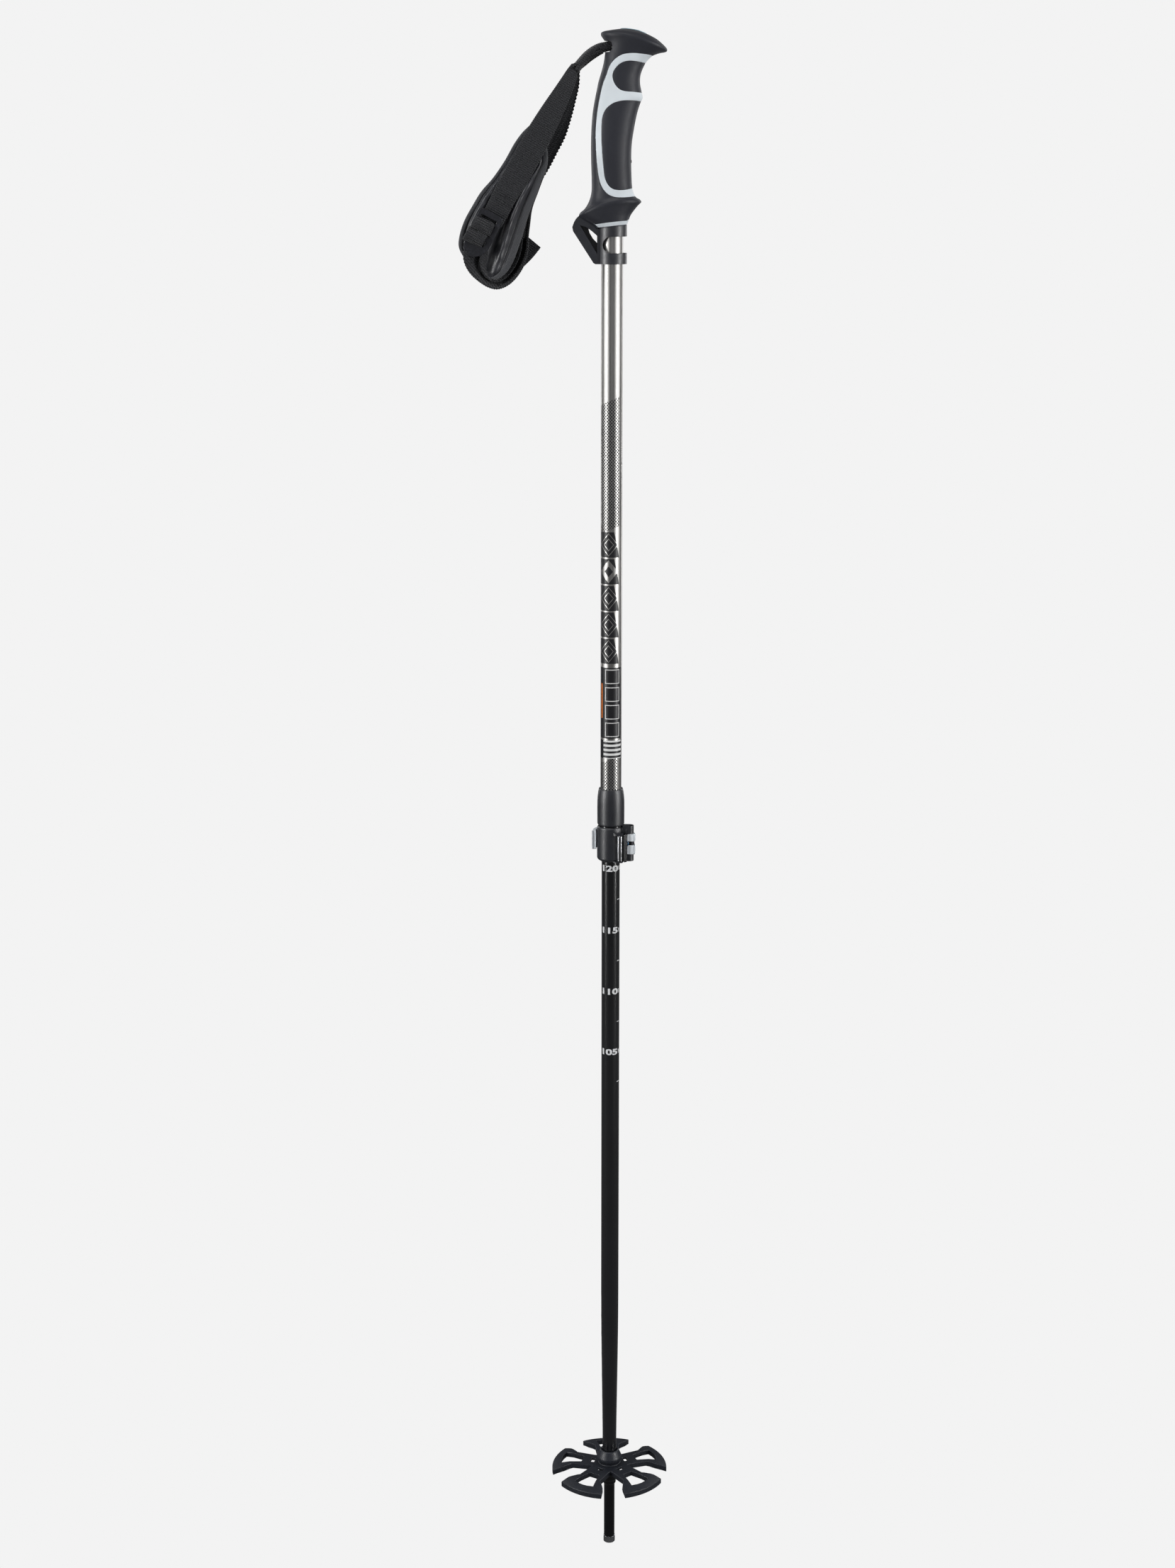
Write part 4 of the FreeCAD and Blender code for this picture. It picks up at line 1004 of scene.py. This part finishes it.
def binding(name, L, R, y_mid, side, width, mat="binding", thick=1.45):
    """Ribbed tape folded over an edge of the pad."""
    n = len(L)
    verts, faces = [], []
    K = 20
    for i in range(n):
        ex, ez = (L[i] if side == 0 else R[i])
        ox, oz = (R[i] if side == 0 else L[i])
        wd = math.hypot(ox - ex, oz - ez)
        ux, uz = (ox - ex) / wd, (oz - ez) / wd
        s = i / (n - 1)
        ww = (width(s) if callable(width) else width) / 2
        rib = 0.05 * math.sin(i * 2.2)
        for k in range(K):
            a = 2 * math.pi * k / K
            c, q = math.cos(a), math.sin(a)
            w = ww * math.copysign(abs(c) ** (2 / 3.4), c) + ww - 0.25
            h = (thick + rib) * math.copysign(abs(q) ** (2 / 3.4), q)
            verts.append(((ex + ux * w) * mm, (y_mid - h) * mm, (ez + uz * w) * mm))
    for i in range(n - 1):
        for k in range(K):
            m = (k + 1) % K
            faces.append((i * K + k, i * K + m, (i + 1) * K + m, (i + 1) * K + k))
    faces.append(tuple(reversed(range(K))))
    faces.append(tuple((n - 1) * K + k for k in range(K)))
    return new_obj(name, verts, faces, M[mat], "strap")


binding("pad_binding_outer", padL, padR, -6.4, 0, 3.1)
binding("pad_binding_inner", padL, padR, -6.4, 1, lambda s: 3.6 + 2.2 * math.sin(math.pi * min(1, max(0, s))) ** 0.7)


def stitch_path(name, pts, every=2.3, length=1.5, r=0.24, mat="thread"):
    """Separate thread stitches along points (x, y, z) in millimetres."""
    d = [0.0]
    for a, b in zip(pts[:-1], pts[1:]):
        d.append(d[-1] + math.dist(a, b))
    def at_d(q):
        j = 0
        while j < len(d) - 2 and d[j + 1] < q:
            j += 1
        f = (q - d[j]) / max(1e-9, d[j + 1] - d[j])
        return Vector([u + (v - u) * f for u, v in zip(pts[j], pts[j + 1])])
    verts, faces = [], []
    q = 0.6
    while q + length < d[-1] - 0.3:
        A, B = at_d(q), at_d(q + length)
        tan = (B - A).normalized()
        w = tan.cross(Vector((0, 1, 0))).normalized()
        base = len(verts)
        for f, rr, dy in ((0.0, 0.35, 0.12), (0.2, 0.9, -0.05), (0.5, 1.0, -0.12), (0.8, 0.9, -0.05), (1.0, 0.35, 0.12)):
            c = A + (B - A) * f + Vector((0, dy, 0))
            for k in range(8):
                an = 2 * math.pi * k / 8
                verts.append((c + w * (math.cos(an) * r * rr) + Vector((0, math.sin(an) * r * rr, 0))) * mm)
        for i in range(4):
            for k in range(8):
                m = (k + 1) % 8
                faces.append((base + i * 8 + k, base + i * 8 + m, base + (i + 1) * 8 + m, base + (i + 1) * 8 + k))
        faces.append(tuple(base + k for k in reversed(range(8))))
        faces.append(tuple(base + 32 + k for k in range(8)))
        q += every
    return new_obj(name, verts, faces, M[mat], "strap")


def pad_line(t, a=0.03, b=0.97):
    out = []
    n = len(padL)
    for i in range(int(a * n), int(b * n)):
        s = i / (n - 1)
        x = padL[i][0] + (padR[i][0] - padL[i][0]) * t
        z = padL[i][1] + (padR[i][1] - padL[i][1]) * t
        out.append((x, -6.4 - pad_front(t, s, x, z) - 0.02, z))
    return out


stitch_path("pad_stitch_outer", pad_line(0.085))
stitch_path("pad_stitch_inner", pad_line(0.84))


def across(a, b, y, n=14):
    return [(a[0] + (b[0] - a[0]) * k / n, y - 0.5 * (1 - (2 * k / n - 1) ** 2), a[1] + (b[1] - a[1]) * k / n) for k in range(n + 1)]


stitch_path("run_stitch_upper", across((-60.9, 1133.2), (-48.4, 1125.4), -11.7), every=1.9, length=1.2, r=0.28)
stitch_path("run_stitch_lower_a", across((-82.0, 1090.6), (-69.6, 1082.9), -11.7), every=1.9, length=1.2, r=0.28)
stitch_path("run_stitch_lower_b", across((-84.6, 1087.2), (-71.4, 1079.3), -11.65), every=1.9, length=1.2, r=0.28)

# lower turn: the band leaves the buckle, rounds the bottom and comes up behind
turn = sweep("strap_lower_turn_v", [(-101.4, -11.2, 1049.0), (-101.8, -10.4, 1043.2), (-100.0, -8.6, 1037.4), (-95.4, -5.4, 1031.2), (-89.6, -2.6, 1026.4), (-84.2, -0.6, 1024.6), (-78.6, 0.8, 1025.9),
                                    (-72.6, 2.0, 1030.2), (-66.4, 2.8, 1038.4), (-62.9, 3.6, 1048.0), (-61.9, 4.4, 1058.0)],
             lambda s: 7.6 - 2.6 * s, 0.9, M["webbing_turn"], "strap", ribs=1.5, amp=0.16, power=5.0, twist=lambda s: 66 * (1 - s) ** 4 + 14 * math.sin(math.pi * s) + 3)
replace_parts(turn, "strap_lower_turn")
turn2 = sweep("strap_inner_turn_v", [(-93.4, -9.0, 1056.0), (-93.0, -8.6, 1048.0), (-93.6, -7.6, 1040.0), (-91.6, -5.2, 1033.4), (-86.6, -2.0, 1029.4), (-80.6, 1.0, 1030.0), (-74.4, 3.0, 1035.6), (-69.4, 4.2, 1044.0), (-66.4, 4.6, 1056.0), (-65.0, 5.0, 1070.0)],
              lambda s: 5.2 - 0.6 * s, 0.8, M["webbing_turn"], "strap", ribs=1.5, power=5.0, twist=lambda s: 44 * (1 - s) ** 3 + 12 * math.sin(math.pi * s))
rear, rl, rr = pad_piece("wrist_pad_rear_v", [(-66.0, 1100.0), (-71.0, 1084.0), (-75.5, 1066.0), (-79.0, 1048.0), (-83.0, 1034.0), (-85.0, 1027.4)],
                         [(-48.4, 1105.5), (-54.0, 1091.0), (-58.6, 1078.4), (-60.4, 1066.0), (-63.4, 1048.0), (-72.5, 1028.6)], 6.2, -1, "wrist_pad_rear",
                         plain_front, mat=M["rear_cloth"], n=110, na=30)
binding("rear_binding", rl, rr, 6.2, 1, 2.2, mat="rear_cloth", thick=1.9)
tail = ribbon("strap_tail_v", [(-71.5, 1041.2), (-66.6, 1049.4), (-61.4, 1058.4)], [(-65.0, 1037.0), (-58.3, 1043.6), (-52.3, 1050.9)],
              lambda s, t: 9.2 - 1.0 * s, 1.6, M["webbing"], crown=-0.2)
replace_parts(tail, "strap_tail")

# ------------------------------------------------------------------ strap buckle
BU, BV, BO = (0.909, -0.416), (-0.42, -0.905), (-94.5, 1079.5)


def bxz(u, v):
    return (BO[0] + u * BU[0] + v * BV[0], BO[1] + u * BU[1] + v * BV[1])


def plate(name, outer, holes, w0, w1, bevel, mat):
    """Flat moulded plate in the buckle's own frame, with holes; w is the distance in front of the pole's axis."""
    bm = bmesh.new()
    edges = []
    for loop in [outer] + holes:
        vs = []
        for u, v in loop:
            x, z = bxz(u, v)
            vs.append(bm.verts.new((x * mm, -w0(u, v) * mm, z * mm)))
        for a, b in zip(vs, vs[1:] + vs[:1]):
            edges.append(bm.edges.new((a, b)))
    bmesh.ops.triangle_fill(bm, use_beauty=True, use_dissolve=False, edges=edges)
    faces = list(bm.faces)
    r = bmesh.ops.extrude_face_region(bm, geom=faces)
    for v in r["geom"]:
        if isinstance(v, bmesh.types.BMVert):
            # recover local u, v from position
            x, z = v.co.x / mm - BO[0], v.co.z / mm - BO[1]
            det = BU[0] * BV[1] - BU[1] * BV[0]
            uu = (x * BV[1] - z * BV[0]) / det
            vv = (z * BU[0] - x * BU[1]) / det
            v.co.y = -w1(uu, vv) * mm
    bmesh.ops.recalc_face_normals(bm, faces=bm.faces)
    me = bpy.data.meshes.new(name)
    bm.to_mesh(me); bm.free()
    o = bpy.data.objects.new(name, me)
    bpy.context.collection.objects.link(o)
    me.materials.append(mat)
    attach(o, "strap")
    b = o.modifiers.new("round", "BEVEL")
    b.width = bevel * mm; b.segments = 4; b.limit_method = "ANGLE"; b.angle_limit = math.radians(38)
    me.polygons.foreach_set("use_smooth", [True] * len(me.polygons))
    wn = o.modifiers.new("wn", "WEIGHTED_NORMAL")
    return o


outline = [(-1.0, 0.3), (0.6, -0.7), (2.6, -0.9), (15.0, 0.0), (16.6, 0.7), (17.4, 2.2), (17.3, 14.8), (16.2, 26.0), (14.6, 29.4), (12.0, 32.0), (8.6, 34.4),
           (4.6, 35.2), (1.2, 33.6), (-1.2, 30.4), (-1.8, 26.0), (-1.4, 10.0)]
hole1 = [(1.4, 3.6), (13.8, 4.2), (13.8, 9.4), (0.9, 9.2)]
hole2 = [(0.9, 12.4), (13.6, 12.6), (13.4, 17.6), (0.6, 17.2)]
hole3 = [(0.6, 20.4), (13.0, 20.8), (12.4, 25.0), (0.4, 24.8)]
buckle = plate("ladder_buckle_frame", outline, [hole1, hole2, hole3], lambda u, v: 11.9 + 0.03 * v, lambda u, v: 14.3 + 0.9 * max(0.0, (u - 12.5) / 4.5) * max(0.0, 1 - v / 38) - 0.02 * v, 0.55, M["buckle"])
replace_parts(buckle, "ladder_lock_buckle")


def buckle_wrap(name, v0, v1, u0, u1, w_end, w_top, slack=0.0):
    """Webbing that passes over a cross bar: it rises out of one slot and goes down the next."""
    path = []
    for k in range(9):
        f = k / 8
        v = v0 + (v1 - v0) * f
        w = w_end + (w_top - w_end) * math.sin(math.pi * f) ** 0.55
        x, z = bxz((u0 + u1) / 2 + slack * f, v)
        path.append((x, -w, z))
    P = catmull(path, 0.5)
    n = max(20, int(sum(math.dist(a, b) for a, b in zip(P[:-1], P[1:])) / 0.22))
    P = [Vector(q) for q in resample(P, n)]
    side = Vector((BU[0], 0, BU[1]))
    verts, faces = [], []
    na = 12
    R = 2 * (na + 1)
    half = (u1 - u0) / 2
    length = sum((a - b).length for a, b in zip(P[:-1], P[1:]))
    for i in range(n):
        tan = (P[min(n - 1, i + 1)] - P[max(0, i - 1)]).normalized()
        nn = side.cross(tan).normalized()
        rib = 0.22 * math.sin(2 * math.pi * (i / (n - 1)) * length / 1.5)
        for sd in (0, 1):
            rg = range(na + 1) if sd == 0 else range(na, -1, -1)
            for k in rg:
                t = k / na
                e = min(1.0, min(t, 1 - t) * na / 1.5)
                h = 0.85 * (0.4 + 0.6 * math.sqrt(e)) + rib * (0.4 + 0.6 * e)
                if sd:
                    h = -h
                q = P[i] + side * ((2 * t - 1) * (half + rib * 0.5)) + nn * h
                verts.append(q * mm)
    for i in range(n - 1):
        for k in range(R):
            m = (k + 1) % R
            faces.append((i * R + k, i * R + m, (i + 1) * R + m, (i + 1) * R + k))
    faces.append(tuple(reversed(range(R))))
    faces.append(tuple((n - 1) * R + k for k in range(R)))
    return new_obj(name, verts, faces, M["webbing"], "strap")


buckle_wrap("buckle_web_upper", 6.6, 16.0, -1.6, 13.4, 12.0, 16.4)
buckle_wrap("buckle_web_lower", 15.6, 25.6, -3.0, 11.8, 12.0, 16.9, slack=-0.8)

# ------------------------------------------------------- scale on the lower tube
def wrap_text(body, size, sx, bold, name):
    cu = bpy.data.curves.new(name, "FONT")
    cu.body = body
    cu.size = size
    cu.align_x = "CENTER"
    cu.align_y = "CENTER"
    cu.offset = bold
    cu.resolution_u = 5
    ob = bpy.data.objects.new(name, cu)
    bpy.context.collection.objects.link(ob)
    dg = bpy.context.evaluated_depsgraph_get()
    me = bpy.data.meshes.new_from_object(ob.evaluated_get(dg))
    bpy.data.objects.remove(ob)
    bm = bmesh.new(); bm.from_mesh(me)
    bmesh.ops.remove_doubles(bm, verts=bm.verts, dist=1e-5)
    bmesh.ops.triangulate(bm, faces=bm.faces)
    for _ in range(3):
        long = [e for e in bm.edges if abs(e.verts[0].co.x - e.verts[1].co.x) * sx > 0.6]
        if not long:
            break
        bmesh.ops.subdivide_edges(bm, edges=long, cuts=1)
        bmesh.ops.triangulate(bm, faces=bm.faces)
    vs = [v.co.copy() for v in bm.verts]
    fs = [[v.index for v in f.verts] for f in bm.faces]
    bm.free()
    return [(p.x * sx, p.y) for p in vs], fs


def decal(parts, R, name, body, mat, lift=0.008, thick=0.03):
    """parts: list of (2-D points in mm, faces, theta0 deg, z0 mm); makes closed shells on a cylinder."""
    verts, faces = [], []
    for pts, fs, th, z0 in parts:
        base = len(verts)
        n = len(pts)
        for rr in (R + lift + thick, R + lift):
            for x, y in pts:
                a = math.radians(th) + x / R
                verts.append((rr * math.cos(a) * mm, rr * math.sin(a) * mm, (z0 + y) * mm))
        cnt = set()
        for f in fs:
            for a, b in zip(f, f[1:] + f[:1]):
                cnt.add((a, b))
            faces.append([base + i for i in f])
            faces.append([base + n + i for i in reversed(f)])
        for a, b in cnt:
            if (b, a) not in cnt:
                faces.append([base + b, base + a, base + n + a, base + n + b])
    return new_obj(name, verts, faces, mat, body, smooth=False)


def rect(x0, y0, x1, y1, k=6):
    pts, fs = [], []
    for i in range(k + 1):
        x = x0 + (x1 - x0) * i / k
        pts += [(x, y0), (x, y1)]
    for i in range(k):
        fs.append([2 * i, 2 * i + 2, 2 * i + 3, 2 * i + 1])
    return pts, fs


parts = []
for num in range(105, 146, 5):
    z = 580.9 + (num - 120) * 10.0
    pts, fs = wrap_text(str(num), 6.5, 1.56, 0.25, "num")
    parts.append((pts, fs, -100.0, z))
    # matching small numbers further round, and a fine mark half way
    pts2, fs2 = wrap_text(str(num), 4.6, 1.25, 0.10, "num2")
    parts.append((pts2, fs2, -4.0, z))
    r = rect(-1.35, -0.3, 1.35, 0.3)
    parts.append((r[0], r[1], -33.0, z - 25.0))
digits = decal(parts, 7.0, "length_scale", "lower_section", M["digits"])

# ------------------------------------------------------------ hard-part finish
for nd, wdt, cl in (("clamp_body", 0.5, True), ("cam_lever", 0.6, False), ("heel_lift_hook", 0.55, True), ("basket", 0.5, False),
                    ("basket_ring", 0.2, True), ("pressure_plate", 0.25, True), ("eye_bolt", 0.25, True), ("lock_collar", 0.25, True)):
    round_edges(nd, wdt, clamp=cl)
round_edges("basket_collar", 0.28, angle=16.0, clamp=False)

# ------------------------------------------------------------------ camera, set
cam_d = bpy.data.cameras.new("camera")
cam = bpy.data.objects.new("camera", cam_d)
bpy.context.collection.objects.link(cam)
scene.camera = cam
D, ZC = 1.903, 1.119
lo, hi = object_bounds()
a_top = math.atan2(hi[2] - ZC, D)
a_bot = math.atan2(lo[2] - ZC, D)
mid = (a_top + a_bot) / 2
cam.location = (-0.018, -D, ZC)
cam.rotation_euler = (math.pi / 2 + mid, 0, 0)
cam_d.sensor_fit = "AUTO"
cam_d.sensor_width = 36.0
cam_d.lens = 18.0 / math.tan((a_top - a_bot) / 2 * 1.035)
cam_d.clip_start = 0.01
cam_d.clip_end = 60

# floor and backdrop
def plain(name, level, diff):
    m = bpy.data.materials.new(name)
    m.use_nodes = True
    t = m.node_tree
    t.nodes.clear()
    out = t.nodes.new("ShaderNodeOutputMaterial")
    mx = t.nodes.new("ShaderNodeMixShader")
    path = t.nodes.new("ShaderNodeLightPath")
    em = t.nodes.new("ShaderNodeEmission")
    em.inputs[0].default_value = (level, level, level, 1)
    d = t.nodes.new("ShaderNodeBsdfDiffuse")
    d.inputs[0].default_value = (diff, diff, diff, 1)
    t.links.new(path.outputs["Is Camera Ray"], mx.inputs[0])
    t.links.new(d.outputs[0], mx.inputs[1])
    t.links.new(em.outputs[0], mx.inputs[2])
    t.links.new(mx.outputs[0], out.inputs[0])
    return m


bm = bmesh.new()
bmesh.ops.create_grid(bm, x_segments=2, y_segments=2, size=14.0)
me = bpy.data.meshes.new("floor"); bm.to_mesh(me); bm.free()
floor = bpy.data.objects.new("floor", me)
floor.location = (0, 0, -0.0005)
bpy.context.collection.objects.link(floor)
me.materials.append(plain("floor_pale", 0.896, 0.12))

world = bpy.data.worlds.new("studio")
scene.world = world
world.use_nodes = True
t = world.node_tree
t.nodes.clear()
wo = t.nodes.new("ShaderNodeOutputWorld")
mixw = t.nodes.new("ShaderNodeMixShader")
lp = t.nodes.new("ShaderNodeLightPath")
bg1 = t.nodes.new("ShaderNodeBackground"); bg1.inputs[0].default_value = (0.085, 0.088, 0.095, 1)
bg2 = t.nodes.new("ShaderNodeBackground"); bg2.inputs[0].default_value = (0.896, 0.896, 0.896, 1)
t.links.new(lp.outputs["Is Camera Ray"], mixw.inputs[0])
t.links.new(bg1.outputs[0], mixw.inputs[1])
t.links.new(bg2.outputs[0], mixw.inputs[2])
t.links.new(mixw.outputs[0], wo.inputs[0])
scene.view_settings.view_transform = "Standard"


def area(name, loc, look, sx, sy, power, color=(1, 1, 1)):
    l = bpy.data.lights.new(name, "AREA")
    l.shape = "RECTANGLE"
    l.size, l.size_y = sx, sy
    l.energy = power
    l.color = color
    o = bpy.data.objects.new(name, l)
    bpy.context.collection.objects.link(o)
    o.location = loc
    d = Vector(look) - Vector(loc)
    o.rotation_euler = d.to_track_quat("-Z", "Y").to_euler()
    return o


def at(az, dist, z):
    a = math.radians(az)
    return (math.sin(a) * dist, -math.cos(a) * dist, z)


area("strip_left", at(-63, 2.2, 0.80), (0, 0, 0.65), 0.22, 2.7, 30)
area("strip_right", at(63, 2.2, 0.80), (0, 0, 0.65), 0.22, 2.7, 30)
area("soft_left", at(-66, 2.4, 0.80), (0, 0, 0.65), 3.0, 2.7, 24)
area("soft_right", at(66, 2.4, 0.80), (0, 0, 0.65), 3.0, 2.7, 24)
area("front_panel", (0.1, -3.4, 0.9), (0, 0, 0.75), 1.9, 3.0, 3.0)
area("key_top", (-0.3, -0.9, 2.9), (0, 0, 1.0), 0.9, 0.8, 14)
area("rear_left", at(-140, 2.2, 1.3), (0, 0, 0.7), 0.5, 2.2, 9)
area("rear_right", at(140, 2.2, 1.3), (0, 0, 0.7), 0.5, 2.2, 9)
